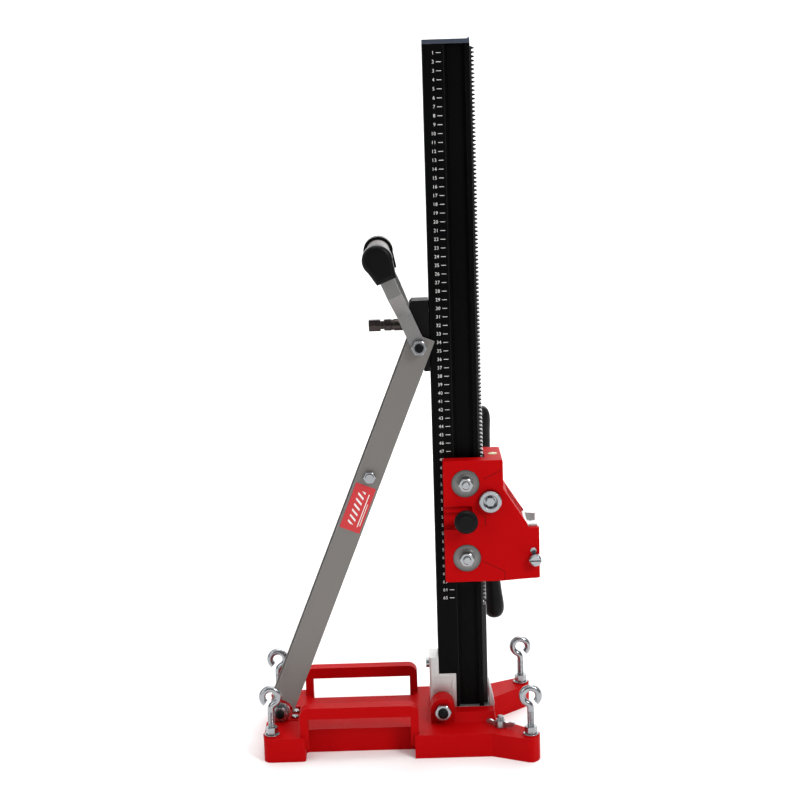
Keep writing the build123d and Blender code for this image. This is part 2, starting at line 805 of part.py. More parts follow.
# bolt that joins block, strut and lever
lever_outer_y = lever_foot_y + lever_bar_thickness
top_nut_y = lever_outer_y + lever_gap
top_head = hex_nut(strut_nut_flats, top_head_height, 0)
top_nut_shape = hex_nut(strut_nut_flats, top_nut_height, strut_bolt_radius)
with BuildPart() as top_bolt:
    with BuildSketch(along_y(strut_top_x, strut_top_z, top_nut_y, -1)):
        Circle(strut_bolt_radius)
    extrude(amount=2 * top_nut_y + top_nut_height + 1)
    with Locations(along_y(strut_top_x, strut_top_z, top_nut_y, 1).location):
        add(top_head)
finish_piece(top_bolt, "strut_top_bolt")
with BuildPart() as top_nut:
    with Locations(along_y(strut_top_x, strut_top_z, -top_nut_y, -1).location):
        add(top_nut_shape)
finish_piece(top_nut, "strut_top_nut")
top_cap_place = (strut_top_x, strut_top_z, -top_nut_y - top_nut_height, -1)
top_cap_seat = strut_bolt_radius + thread_clearance
top_cap = domed_caps([top_cap_place], top_cap_seat + 0.35, small_cap_height, top_cap_seat)
finish_piece(top_cap, "top_bolt_cap")
base_cap_place = (strut_base_x, strut_base_z, -base_nut_y - strut_nut_height, -1)
base_cap = domed_caps([base_cap_place], strut_bolt_radius + 0.6, small_cap_height, 0)
finish_piece(base_cap, "base_bolt_cap")

# ---------------- folding lever ----------------
lever_plane = Plane(
    origin=(strut_top_x, 0, strut_top_z),
    x_dir=(math.cos(math.radians(lever_angle)), 0, math.sin(math.radians(lever_angle))),
    z_dir=(0, -1, 0),
)
lever_tip_y = lever_head_y + lever_bar_thickness
grip_bar_radius = lever_bar_width / 2 - 0.5
bend_plane = Plane(
    origin=(strut_top_x, 0, strut_top_z),
    x_dir=lever_plane.x_dir,
    z_dir=lever_plane.y_dir,
)
with BuildPart() as lever:
    with BuildSketch(bend_plane.offset(-lever_bar_width / 2)):
        for side in sides:
            foot_y = lever_foot_y * side
            head_y = lever_head_y * side
            thickness = lever_bar_thickness * side
            with BuildLine():
                Polyline(
                    (-lever_bar_width, foot_y),
                    (lever_bend_low, foot_y),
                    (lever_bend_high, head_y),
                    (grip_distance, head_y),
                    (grip_distance, head_y + thickness),
                    (lever_bend_high - 1.2, head_y + thickness),
                    (lever_bend_low - 1.2, foot_y + thickness),
                    (-lever_bar_width, foot_y + thickness),
                    close=True,
                )
            make_face()
    extrude(amount=lever_bar_width)
    for side in sides:
        with BuildSketch(lever_plane.offset(-side * lever_outer_y)):
            with Locations((-lever_bar_width, 0)):
                Rectangle(2 * lever_bar_width, 2 * lever_bar_width)
            Circle(lever_bar_width / 2, mode=Mode.SUBTRACT)
            with Locations((lever_bar_width / 2, 0)):
                Rectangle(lever_bar_width, 2 * lever_bar_width, mode=Mode.SUBTRACT)
        extrude(amount=side * lever_bar_thickness, mode=Mode.SUBTRACT)
        with BuildSketch(lever_plane.offset(-side * lever_outer_y)):
            Circle(strut_bolt_radius + thread_clearance)
        extrude(amount=side * lever_bar_thickness, mode=Mode.SUBTRACT)
    # bar that carries the grip
    with BuildSketch(lever_plane.offset(-lever_tip_y)):
        with Locations((grip_distance, 0)):
            Circle(grip_bar_radius)
    extrude(amount=2 * lever_tip_y)
finish_piece(lever, "lever_frame")

with BuildPart() as sleeve:
    with BuildSketch(lever_plane.offset(-grip_half_length)):
        with Locations((grip_distance, 0)):
            Circle(sleeve_radius)
            Circle(grip_bar_radius, mode=Mode.SUBTRACT)
    extrude(amount=2 * grip_half_length)
finish_piece(sleeve, "grip_sleeve")

for side, boot_name in ((-1, "grip_boot_near"), (1, "grip_boot_far")):
    with BuildPart() as boot:
        with BuildSketch(lever_plane.offset(-side * boot_outer_y)):
            with Locations((grip_distance, 0)):
                Circle(grip_radius + 0.3)
            with BuildLine():
                Polyline(
                    (grip_distance, grip_radius),
                    (grip_distance - 26, 12),
                    (grip_distance - 26, -12),
                    (grip_distance, -grip_radius),
                    close=True,
                )
            make_face()
        extrude(amount=side * (boot_outer_y - grip_half_length - 0.1))
        outer_face = boot.faces().filter_by(Axis.Y).sort_by(Axis.Y)[0 if side < 0 else -1]
        fillet(outer_face.edges(), 5)
        with BuildSketch(lever_plane.offset(-side * lever_tip_y)):
            with Locations((grip_distance - 40, 0)):
                Rectangle(80, lever_bar_width)
            with Locations((grip_distance, 0)):
                Circle(lever_bar_width / 2)
        extrude(amount=side * (lever_tip_y - grip_half_length + 1), mode=Mode.SUBTRACT)
    finish_piece(boot, boot_name)

# ---------------- carriage ----------------
wall_inner = half + carriage_clearance
carriage_inner_x = rack_tip_x + 1.1
slope_run = carriage_nose_x - carriage_shoulder_x
slope_drop = carriage_shoulder_z - carriage_nose_z
disc_floor_y = carriage_half_width - roller_disc_thickness
slope_middle = (
    (carriage_shoulder_x + carriage_nose_x) / 2, 0, (carriage_shoulder_z + carriage_nose_z) / 2)
slope_plane = Plane(
    origin=slope_middle, x_dir=(slope_run, 0, -slope_drop), z_dir=(slope_drop, 0, slope_run))
plate_screw_heights = (plate_bottom + plate_screw_inset, plate_top - plate_screw_inset)
with BuildPart() as carriage:
    with BuildSketch(Plane.XZ.offset(-carriage_half_width)):
        with BuildLine():
            Polyline(
                (carriage_rear_x, carriage_bottom),
                (carriage_rear_x, carriage_top),
                (carriage_shoulder_x, carriage_top),
                (carriage_shoulder_x, carriage_shoulder_z),
                (carriage_nose_x, carriage_nose_z),
                (carriage_nose_x, carriage_front_top),
                (carriage_front_x, carriage_front_top),
                (carriage_front_x, carriage_front_bottom),
                (carriage_shoulder_x - 3, carriage_bottom),
                close=True,
            )
        make_face()
    extrude(amount=2 * carriage_half_width)
    fillet(carriage.edges().filter_by(Axis.Y).filter_by_position(
        Axis.X, carriage_rear_x - 1, carriage_shoulder_x + 1), 2)
    outer_faces = carriage.faces().filter_by(Axis.Y)
    fillet([edge for face in outer_faces for edge in face.edges()], 1.2)
    # channel round the column, open to the rear
    with BuildSketch(Plane.XY.offset(carriage_bottom - 1)):
        with Locations(((carriage_inner_x + carriage_rear_x - 10) / 2, 0)):
            Rectangle(carriage_inner_x - carriage_rear_x + 10, 2 * wall_inner)
    extrude(amount=carriage_top - carriage_bottom + 2, mode=Mode.SUBTRACT)
    # pocket for the machine plate
    with BuildSketch(Plane.XY.offset(carriage_bottom - 1)):
        with Locations(((plate_rear_x + carriage_front_x + 5) / 2, 0)):
            Rectangle(carriage_front_x + 5 - plate_rear_x, 2 * (jaw_outer_y + 0.1))
    extrude(amount=carriage_nose_z - carriage_bottom + 8, mode=Mode.SUBTRACT)
    # casting pocket below, between the channel and the machine plate
    with BuildSketch(Plane.XY.offset(carriage_bottom - 1)):
        with Locations((80, -14.5), (80, 14.5)):
            RectangleRounded(26, 23, 3)
    extrude(amount=56, mode=Mode.SUBTRACT)
    # ribbed recess in the sloped face
    with BuildSketch(slope_plane):
        with Locations((0, -15), (0, 0), (0, 15)):
            RectangleRounded(34, 11.5, 2)
    extrude(amount=-7, mode=Mode.SUBTRACT)
    # bores across the carriage
    with BuildSketch(along_y(pinion_x, pinion_z, carriage_half_width + 1, -1)):
        Circle(journal_radius + 0.3)
    extrude(amount=2 * carriage_half_width + 2, mode=Mode.SUBTRACT)
    for side in sides:
        with BuildSketch(along_y(pinion_x, pinion_z, side * bush_inner_y, side)):
            Circle(bush_radius)
        extrude(amount=bush_outer_y - bush_inner_y, mode=Mode.SUBTRACT)
        for z in roller_heights:
            with BuildSketch(along_y(roller_x, z, side * wall_inner, side)):
                Circle(roller_stud_radius + thread_clearance)
            extrude(amount=carriage_half_width, mode=Mode.SUBTRACT)
            with BuildSketch(along_y(roller_x, z, side * disc_floor_y, side)):
                Circle(roller_disc_radius + 0.4)
            extrude(amount=carriage_half_width, mode=Mode.SUBTRACT)
    # stepped recess and screw hole of the column brake
    near = -carriage_half_width
    with BuildSketch(along_y(knob_x - 12, 280, near, -1)):
        RectangleRounded(40, 28, 3)
    extrude(amount=-5, mode=Mode.SUBTRACT)
    with BuildSketch(along_y(knob_x - 18, 276.8, near, -1)):
        RectangleRounded(25, 17.6, 2)
    extrude(amount=-10, mode=Mode.SUBTRACT)
    with BuildSketch(along_y(knob_x, knob_z, near, -1)):
        Circle(brake_screw_radius + thread_clearance)
    extrude(amount=wall_inner - carriage_half_width - 1, mode=Mode.SUBTRACT)
    # screws and pins of the machine plate
    with BuildSketch(along_y(clamp_bolt_x, clamp_bolt_z, near - 1, 1)):
        Circle(clamp_bolt_radius + thread_clearance)
    extrude(amount=20, mode=Mode.SUBTRACT)
    with BuildSketch(along_y(dowel_x, dowel_z, near - 1, 1)):
        Circle(dowel_radius + press_gap)
    extrude(amount=2 * carriage_half_width + 2, mode=Mode.SUBTRACT)
    with BuildSketch(Plane.YZ.offset(plate_rear_x)):
        with Locations(*[(0, z) for z in plate_screw_heights]):
            Circle(plate_screw_radius + press_gap)
    extrude(amount=-12, mode=Mode.SUBTRACT)
    # bubble level seat
    with BuildSketch(Plane.XY.offset(carriage_top)):
        with Locations((vial_x, 0)):
            Circle(vial_radius + thread_clearance)
    extrude(amount=-vial_depth, mode=Mode.SUBTRACT)
finish_piece(carriage, "carriage_body")

with BuildPart() as vial:
    with BuildSketch(Plane.XY.offset(carriage_top - vial_depth)):
        with Locations((vial_x, 0)):
            Circle(vial_radius)
    extrude(amount=vial_depth + 0.4)
finish_piece(vial, "level_vial")

with BuildPart() as bushes:
    for side in sides:
        with BuildSketch(along_y(pinion_x, pinion_z, side * bush_inner_y, side)):
            Circle(bush_radius - press_gap)
            Circle(journal_radius + journal_clearance, mode=Mode.SUBTRACT)
        extrude(amount=bush_outer_y - bush_inner_y)
finish_piece(bushes, "pinion_bushes")

# ---------------- guide rollers ----------------
roller_inner_y = channel_floor + 0.6
rail_gap = roller_radius + roller_gap
front_axle_x = channel_front_x - rail_gap
rear_axle_x = channel_rear_x + rail_gap
roller_places = (
    ("upper_rollers", front_axle_x, roller_heights[0]),
    ("lower_rollers", rear_axle_x, roller_heights[1]),
)
stud_shank_radius = roller_stud_radius - 0.3
stud_length = roller_stud_tip_y - roller_inner_y
roller_stud = turned([
    (0, roller_stud_radius + 2.5),
    (0.6, roller_stud_radius + 2.5),
    (0.6, roller_stud_radius - thread_clearance),
    (roller_width + 0.8, roller_stud_radius - thread_clearance),
    (roller_width + 0.8, stud_shank_radius),
    (stud_length - 1, stud_shank_radius),
    (stud_length, stud_shank_radius - 1),
])
with BuildPart() as roller_studs:
    for name, x, z in roller_places:
        for side in sides:
            with Locations(along_y(x, z, side * roller_inner_y, side).location):
                add(roller_stud)
finish_piece(roller_studs, "roller_studs")

for name, x, z in roller_places:
    with BuildPart() as rollers:
        for side in sides:
            with BuildSketch(along_y(x, z, side * (roller_inner_y + 0.65), side)):
                Circle(roller_radius)
                Circle(roller_stud_radius, mode=Mode.SUBTRACT)
            extrude(amount=roller_width - 0.1)
    finish_piece(rollers, name)

disc_boss_height = 1.5
with BuildPart() as roller_discs:
    for name, x, z in roller_places:
        for side in sides:
            with BuildSketch(along_y(roller_x, z, side * (disc_floor_y + press_gap), side)):
                Circle(roller_disc_radius)
                with Locations((x - roller_x, 0)):
                    Circle(roller_stud_radius, mode=Mode.SUBTRACT)
            extrude(amount=roller_disc_thickness)
            with BuildSketch(along_y(roller_x, z, side * carriage_half_width, side)):
                Circle(roller_disc_radius - 5.5)
                with Locations((x - roller_x, 0)):
                    Circle(roller_stud_radius, mode=Mode.SUBTRACT)
            extrude(amount=disc_boss_height)
finish_piece(roller_discs, "roller_discs")

roller_nut = hex_nut(roller_nut_flats, roller_nut_height, stud_shank_radius)
with BuildPart() as roller_nuts:
    for name, x, z in roller_places:
        for side in sides:
            nut_y = side * (carriage_half_width + disc_boss_height)
            with Locations(along_y(x, z, nut_y, side).location):
                add(roller_nut)
finish_piece(roller_nuts, "roller_nuts")

# ---------------- pinion shaft, hub and feed bar ----------------
pitch_radius = gear_module * pinion_teeth / 2
base_radius = pitch_radius * math.cos(math.radians(pressure_angle))
tip_radius = pitch_radius + gear_module
root_radius = pitch_radius - 1.25 * gear_module
pressure_rad = math.radians(pressure_angle)


def tooth_half_angle(radius):
    """Half the angle that a pinion tooth takes at a radius."""
    flank = math.acos(min(1, base_radius / max(radius, base_radius)))
    rolled = math.tan(flank) - flank
    return half_at_pitch / pitch_radius + math.tan(pressure_rad) - pressure_rad - rolled


flank_radii = [root_radius, base_radius] + [
    base_radius + (tip_radius - base_radius) * step / 4 for step in range(1, 5)]
gear_outline = []
for tooth in range(pinion_teeth):
    middle_angle = math.pi + 2 * math.pi * tooth / pinion_teeth
    for side, radii in ((-1, flank_radii), (1, flank_radii[::-1])):
        for radius in radii:
            angle = middle_angle + side * tooth_half_angle(radius)
            gear_outline.append((radius * math.cos(angle), radius * math.sin(angle)))
with BuildPart() as pinion:
    with BuildSketch(along_y(pinion_x, pinion_z, tooth_half_width, -1)):
        with BuildLine():
            Polyline(*gear_outline, close=True)
        make_face()
    extrude(amount=2 * tooth_half_width)
    for side in sides:
        journal_end = sleeve_end_y if side < 0 else hub_start_y
        with BuildSketch(along_y(pinion_x, pinion_z, side * tooth_half_width, side)):
            Circle(shaft_neck_radius)
        extrude(amount=bush_inner_y - tooth_half_width)
        with BuildSketch(along_y(pinion_x, pinion_z, side * bush_inner_y, side)):
            Circle(journal_radius)
        extrude(amount=journal_end - bush_inner_y)
    with BuildSketch(along_y(pinion_x, pinion_z, hub_start_y, 1)):
        Circle(shaft_neck_radius)
    extrude(amount=spigot_end_y - hub_start_y)
    # socket in the near end, with a hexagon for a ratchet
    with BuildSketch(along_y(pinion_x, pinion_z, -sleeve_end_y, -1)):
        Circle(shaft_neck_radius)
    extrude(amount=-9, mode=Mode.SUBTRACT)
    with BuildSketch(along_y(pinion_x, pinion_z, -sleeve_end_y + 9, -1)):
        RegularPolygon(5.6, 6)
    extrude(amount=8)
    near_rim = pinion.faces().filter_by(Axis.Y).sort_by(Axis.Y)[0]
    chamfer(near_rim.edges(), 0.8)
    # cross hole for the pin
    with BuildSketch(Plane.XY.offset(pinion_z - hub_radius)):
        with Locations((pinion_x, hub_pin_y)):
            Circle(hub_pin_radius + press_gap)
    extrude(amount=2 * hub_radius, mode=Mode.SUBTRACT)
finish_piece(pinion, "pinion_shaft")

bar_direction = Vector(-math.sin(math.radians(feed_bar_tilt)), 0, math.cos(math.radians(feed_bar_tilt)))


def across_bar(distance):
    """Plane square to the feed bar, at a distance up the bar from the pinion's axis."""
    return Plane(
        origin=(pinion_x + distance * bar_direction.X, feed_bar_y, pinion_z + distance * bar_direction.Z),
        x_dir=(0, 1, 0), z_dir=bar_direction)


hub_bar_distance = feed_bar_y - hub_start_y
hub_length = hub_bar_distance + 12.0
hub_shell = turned([
    (0, hub_radius - 1.5),
    (1.5, hub_radius),
    (26, hub_radius),
    (28, hub_radius - 2),
    (hub_bar_distance - 15, hub_radius - 2),
    (hub_bar_distance - 13, hub_radius),
    (hub_length - 2, hub_radius),
    (hub_length, hub_radius - 2),
])
with BuildPart() as hub:
    with Locations(along_y(pinion_x, pinion_z, hub_start_y + thread_clearance, 1).location):
        add(hub_shell)
    with BuildSketch(along_y(pinion_x, pinion_z, hub_start_y, 1)):
        Circle(shaft_neck_radius)
    extrude(amount=spigot_end_y - hub_start_y + 1, mode=Mode.SUBTRACT)
    with BuildSketch(Plane.XY.offset(pinion_z - hub_radius)):
        with Locations((pinion_x, hub_pin_y)):
            Circle(hub_pin_radius + press_gap)
    extrude(amount=2 * hub_radius, mode=Mode.SUBTRACT)
    with BuildSketch(across_bar(-hub_radius - 2)):
        Circle(feed_bar_radius + thread_clearance)
    extrude(amount=2 * hub_radius + 4, mode=Mode.SUBTRACT)
finish_piece(hub, "handle_hub")

with BuildPart() as hub_pin:
    with BuildSketch(Plane.XY.offset(pinion_z - hub_radius + 0.5)):
        with Locations((pinion_x, hub_pin_y)):
            Circle(hub_pin_radius)
    extrude(amount=2 * hub_radius - 1)
finish_piece(hub_pin, "hub_pin")

with BuildPart() as feed_bar:
    with BuildSketch(across_bar(-bar_reach_down + 6)):
        Circle(feed_bar_radius)
    extrude(amount=bar_reach_down + bar_reach_up - 12)
finish_piece(feed_bar, "feed_bar")

with BuildPart() as bar_grips:
    for start, facing in ((-bar_reach_down + bar_grip_length, -1), (bar_reach_up - bar_grip_length, 1)):
        grip_start = across_bar(start)
        grip_plane = Plane(
            origin=grip_start.origin, x_dir=grip_start.x_dir, z_dir=bar_direction * facing)
        length = bar_grip_length
        with BuildSketch(Plane(
                origin=grip_plane.origin, x_dir=grip_plane.z_dir, z_dir=grip_plane.x_dir)):
            with BuildLine():
                l1 = Polyline((0, 0), (0, 8.2), (3, 9.2))
                l2 = Spline(
                    (3, 9.2), (0.55 * length, bar_grip_radius), (length, 0),
                    tangents=[(1, 0.15), (0, -1)])
                Line(l2 @ 1, (0, 0))
            make_face()
        revolve(axis=Axis(grip_plane.origin, grip_plane.z_dir))
        with BuildSketch(grip_plane):
            Circle(feed_bar_radius)
        extrude(amount=length - 6, mode=Mode.SUBTRACT)
finish_piece(bar_grips, "bar_grips")

# ---------------- column brake ----------------
pad_inner_y = channel_floor + brake_gap
knob_screw_y = pad_inner_y + brake_pad_thickness + 0.1
knob_length = knob_face_y - knob_screw_y
with BuildPart() as brake_pad:
    with BuildSketch(along_y(knob_x, knob_z, -pad_inner_y, -1)):
        Circle(brake_pad_radius)
    extrude(amount=brake_pad_thickness)
finish_piece(brake_pad, "brake_pad")

knob_shape = turned([
    (0, brake_screw_radius),
    (27, brake_screw_radius),
    (27, 7.0),
    (30, 7.2),
    (31.5, knob_radius - 1.5),
    (33.5, knob_radius),
    (knob_length - 3.4, knob_radius),
    (knob_length - 0.9, knob_radius - 2),
    (knob_length, knob_radius - 5),
])
with BuildPart() as lock_knob:
    with Locations(along_y(knob_x, knob_z, -knob_screw_y, -1).location):
        add(knob_shape)
finish_piece(lock_knob, "lock_knob")

# ---------------- machine plate ----------------
plate_centre_z = (plate_top + plate_bottom) / 2
with BuildPart() as machine_plate:
    with BuildSketch(Plane.XY.offset(plate_bottom)):
        front_x = carriage_front_x - 1.5
        with Locations(((plate_rear_x + front_x) / 2, 0)):
            Rectangle(front_x - plate_rear_x, 2 * jaw_outer_y)
        with BuildLine():
            Polyline(
                (plate_rear_x + plate_web, -jaw_inner_y - 3),
                (front_x + 1, -jaw_inner_y + 2),
                (front_x + 1, jaw_inner_y - 2),
                (plate_rear_x + plate_web, jaw_inner_y + 3),
                close=True,
            )
        make_face(mode=Mode.SUBTRACT)
    extrude(amount=plate_top - plate_bottom)
    chamfer(machine_plate.faces().sort_by(Axis.Z)[-1].edges().filter_by(Axis.X), 1)
    with BuildSketch(Plane.YZ.offset(plate_rear_x)):
        with Locations((0, plate_centre_z)):
            with GridLocations(machine_hole_spacing_y, machine_hole_spacing_z, 2, 2):
                Circle(machine_hole_radius)
        with Locations(*[(0, z) for z in plate_screw_heights]):
            Circle(plate_screw_radius + press_gap)
    extrude(amount=plate_web, mode=Mode.SUBTRACT)
    with BuildSketch(along_y(clamp_bolt_x, clamp_bolt_z, -jaw_outer_y, 1)):
        Circle(clamp_bolt_radius + thread_clearance)
    extrude(amount=jaw_outer_y, mode=Mode.SUBTRACT)
    with BuildSketch(along_y(dowel_x, dowel_z, -jaw_outer_y, 1)):
        Circle(dowel_radius + press_gap)
    extrude(amount=2 * jaw_outer_y, mode=Mode.SUBTRACT)
finish_piece(machine_plate, "machine_plate")

plate_head_height = 3.5
plate_screw_shank = turned([
    (-plate_web - 11, plate_screw_radius),
    (press_gap, plate_screw_radius),
    (press_gap, 5),
    (plate_head_height, 5),
])
with BuildPart() as plate_screw:
    add(plate_screw_shank)
    with BuildSketch(Plane.XY.offset(plate_head_height)):
        RegularPolygon(socket_radius, 6)
    extrude(amount=-socket_depth, mode=Mode.SUBTRACT)
with BuildPart() as plate_screws:
    for z in plate_screw_heights:
        head_seat = Plane(origin=(plate_rear_x + plate_web, 0, z), x_dir=(0, 1, 0), z_dir=(1, 0, 0))
        with Locations(head_seat.location):
            add(plate_screw.part)
finish_piece(plate_screws, "plate_screws")

with BuildPart() as dowel_pins:
    for side in sides:
        with BuildSketch(along_y(dowel_x, dowel_z, side * (carriage_half_width + 0.4), side)):
            Circle(dowel_radius)
        extrude(amount=-(carriage_half_width - jaw_inner_y - 1))
finish_piece(dowel_pins, "dowel_pins")

clamp_tip_y = jaw_inner_y + 1
clamp_head_start = carriage_half_width + side_clearance - clamp_tip_y + 0.9
clamp_bolt_shape = turned([
    (0, clamp_bolt_radius),
    (clamp_head_start, clamp_bolt_radius),
    (clamp_head_start, clamp_head_radius),
    (clamp_bolt_length - 1.5, clamp_head_radius),
    (clamp_bolt_length, clamp_head_radius - 1.5),
])
with BuildPart() as clamp_bolt:
    with Locations(along_y(clamp_bolt_x, clamp_bolt_z, -clamp_tip_y, -1).location):
        add(clamp_bolt_shape)
    with BuildSketch(along_y(clamp_bolt_x, clamp_bolt_z, -clamp_tip_y - clamp_bolt_length, -1)):
        Rectangle(2 * clamp_head_radius + 2, 2)
    extrude(amount=-2.5, mode=Mode.SUBTRACT)
finish_piece(clamp_bolt, "clamp_bolt")

# ---------------- levelling eye bolts ----------------
# the wire leaves the ring on a round bend and runs straight down
bend_x = -eye_bend
bend_z = -math.sqrt((eye_ring_radius + eye_bend) ** 2 - eye_bend ** 2)
touch_x = bend_x * eye_ring_radius / (eye_ring_radius + eye_bend)
touch_z = bend_z * eye_ring_radius / (eye_ring_radius + eye_bend)
touch_angle = math.degrees(math.atan2(touch_z, touch_x))
eye_places = (
    ("eye_bolt_front_near", front_screw_x, -front_screw_y, 1),
    ("eye_bolt_front_far", front_screw_x, front_screw_y, 1),
    ("eye_bolt_rear_near", rear_screw_x, -rear_screw_y, -1),
    ("eye_bolt_rear_far", rear_screw_x, rear_screw_y, -1),
)
with BuildPart() as eye_shape:
    with BuildSketch(Plane.XY.offset(eye_tip_z)):
        Circle(eye_wire_radius)
    extrude(amount=eye_ring_z + bend_z - eye_tip_z)
    chamfer(eye_shape.faces().sort_by(Axis.Z)[0].edges(), 1)
    with BuildLine(Plane(origin=(0, 0, eye_ring_z), x_dir=(1, 0, 0), z_dir=(0, -1, 0))) as wire_path:
        CenterArc((bend_x, bend_z), eye_bend, 0, touch_angle + 180)
        CenterArc((0, 0), eye_ring_radius, touch_angle, -ring_turn)
    with BuildSketch(Plane.XY.offset(eye_ring_z + bend_z)):
        Circle(eye_wire_radius)
    sweep(path=wire_path.line)

for name, x, y, hand in eye_places:
    with BuildPart() as eye_bolt:
        with Locations(Location((x, y, 0), (0, 0, 0 if hand > 0 else 180))):
            add(eye_shape.part)
    finish_piece(eye_bolt, name)

eye_nut = hex_nut(eye_nut_flats, eye_nut_height, eye_wire_radius + thread_clearance)
eye_washer = washer(9, eye_wire_radius + 0.4, eye_washer_thickness - 0.1)
with BuildPart() as levelling_nuts:
    for name, x, y, hand in eye_places:
        with Locations((x, y, base_top + seat_height + eye_washer_thickness)):
            add(eye_nut)
finish_piece(levelling_nuts, "levelling_nuts")
with BuildPart() as levelling_washers:
    for name, x, y, hand in eye_places:
        with Locations((x, y, base_top + seat_height)):
            add(eye_washer)
finish_piece(levelling_washers, "levelling_washers")

# ---------------- wing nut on its stud ----------------
with BuildPart() as wing_stud:
    with BuildSketch(Plane.XY.offset(base_top - 12)):
        with Locations((wing_x, wing_y)):
            Circle(wing_stud_radius)
    extrude(amount=26)
    chamfer(wing_stud.faces().sort_by(Axis.Z)[-1].edges(), 0.8)
finish_piece(wing_stud, "wing_stud")

with BuildPart() as wing_nut:
    with BuildSketch(Plane.XY.offset(base_top + wing_gap)):
        with Locations((wing_x, wing_y)):
            Circle(6.5)
    extrude(amount=8, taper=8)
    wing_dir = Vector(math.cos(math.radians(wing_turn)), -math.sin(math.radians(wing_turn)), 0)
    wing_plane = Plane(
        origin=(wing_x, wing_y, base_top + wing_gap),
        x_dir=wing_dir, z_dir=wing_dir.cross(Vector(0, 0, 1)))
    with BuildSketch(wing_plane):
        for side in sides:
            with BuildLine():
                Polyline(
                    (side * 2.0, 1.0),
                    (side * 6.3, 0.8),
                    (side * 12.0, 1.6),
                    (side * 16.5, 2.8),
                    (side * 18.2, 5.0),
                    (side * 16.8, 7.6),
                    (side * 13.0, 7.8),
                    (side * 9.0, 6.2),
                    (side * 5.0, 7.4),
                    (side * 2.0, 7.4),
                    close=True,
                )
            make_face()
    extrude(amount=1.3, both=True)
    with BuildSketch(Plane.XY.offset(base_top)):
        with Locations((wing_x, wing_y)):
            Circle(wing_stud_radius + thread_clearance)
    extrude(amount=12, mode=Mode.SUBTRACT)
finish_piece(wing_nut, "wing_nut")

# ---------------- small screws ----------------
bracket_screw = turned([
    (-16, bracket_screw_radius),
    (press_gap, bracket_screw_radius),
    (press_gap, 4.4),
    (2.6, 4.4),
    (3.2, 3.8),
])
with BuildPart() as bracket_screws:
    for x, y in bracket_screw_places:
        with Locations((x, y, strut_pocket_z + bracket_foot)):
            add(bracket_screw)
finish_piece(bracket_screws, "bracket_screws")
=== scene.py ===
import bpy
import bmesh
import json
import math
from mathutils import Vector, Matrix


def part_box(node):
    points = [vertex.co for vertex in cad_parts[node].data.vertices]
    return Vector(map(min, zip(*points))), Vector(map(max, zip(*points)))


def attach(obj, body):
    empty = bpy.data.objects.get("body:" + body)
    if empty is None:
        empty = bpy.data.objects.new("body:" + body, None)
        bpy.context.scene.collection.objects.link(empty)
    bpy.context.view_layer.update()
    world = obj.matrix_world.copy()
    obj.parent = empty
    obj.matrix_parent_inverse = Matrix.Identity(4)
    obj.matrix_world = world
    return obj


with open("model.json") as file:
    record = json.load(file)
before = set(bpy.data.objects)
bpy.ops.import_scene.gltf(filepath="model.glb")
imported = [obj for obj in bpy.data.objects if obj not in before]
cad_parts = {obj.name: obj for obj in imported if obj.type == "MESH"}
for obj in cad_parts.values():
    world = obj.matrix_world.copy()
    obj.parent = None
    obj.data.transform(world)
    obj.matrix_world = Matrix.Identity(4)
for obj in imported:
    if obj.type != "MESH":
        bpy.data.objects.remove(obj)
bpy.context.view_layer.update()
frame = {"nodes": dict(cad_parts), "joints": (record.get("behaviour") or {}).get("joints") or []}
nodes = frame["nodes"]
scene = bpy.context.scene
mm = 0.001
scene.view_settings.view_transform = "Standard"
print("frame loaded:", len(nodes), "pieces")


# shader building blocks

def wire(tree, source, target):
    tree.links.new(source, target)


def addNode(tree, kind, **values):
    node = tree.nodes.new(kind)
    for key, value in values.items():
        setattr(node, key, value)
    return node


def mathStep(tree, operation, first, second=None, clamp=False):
    node = addNode(tree, "ShaderNodeMath", operation=operation, use_clamp=clamp)
    for slot, value in enumerate((first, second)):
        if value is None:
            continue
        if isinstance(value, (int, float)):
            node.inputs[slot].default_value = value
        else:
            wire(tree, value, node.inputs[slot])
    return node.outputs[0]


def mixColour(tree, factor, first, second):
    node = addNode(tree, "ShaderNodeMix", data_type="RGBA")
    for name, value in ((0, factor), (6, first), (7, second)):
        if isinstance(value, (int, float)):
            node.inputs[name].default_value = value
        elif isinstance(value, tuple):
            node.inputs[name].default_value = (*value, 1)
        else:
            wire(tree, value, node.inputs[name])
    return node.outputs[2]


def mapRange(tree, value, low, high, outLow, outHigh):
    node = addNode(tree, "ShaderNodeMapRange")
    wire(tree, value, node.inputs[0])
    for slot, number in enumerate((low, high, outLow, outHigh), 1):
        node.inputs[slot].default_value = number
    return node.outputs[0]


def newGroup(name, inputs, outputs):
    tree = bpy.data.node_groups.new(name, "ShaderNodeTree")
    for label, kind, value in inputs:
        socket = tree.interface.new_socket(label, in_out="INPUT", socket_type=kind)
        socket.default_value = value
    for label, kind in outputs:
        tree.interface.new_socket(label, in_out="OUTPUT", socket_type=kind)
    return tree, tree.nodes.new("NodeGroupInput"), tree.nodes.new("NodeGroupOutput")


def placeGroup(tree, group, **values):
    node = tree.nodes.new("ShaderNodeGroup")
    node.node_tree = group
    for label, value in values.items():
        node.inputs[label].default_value = value
    return node


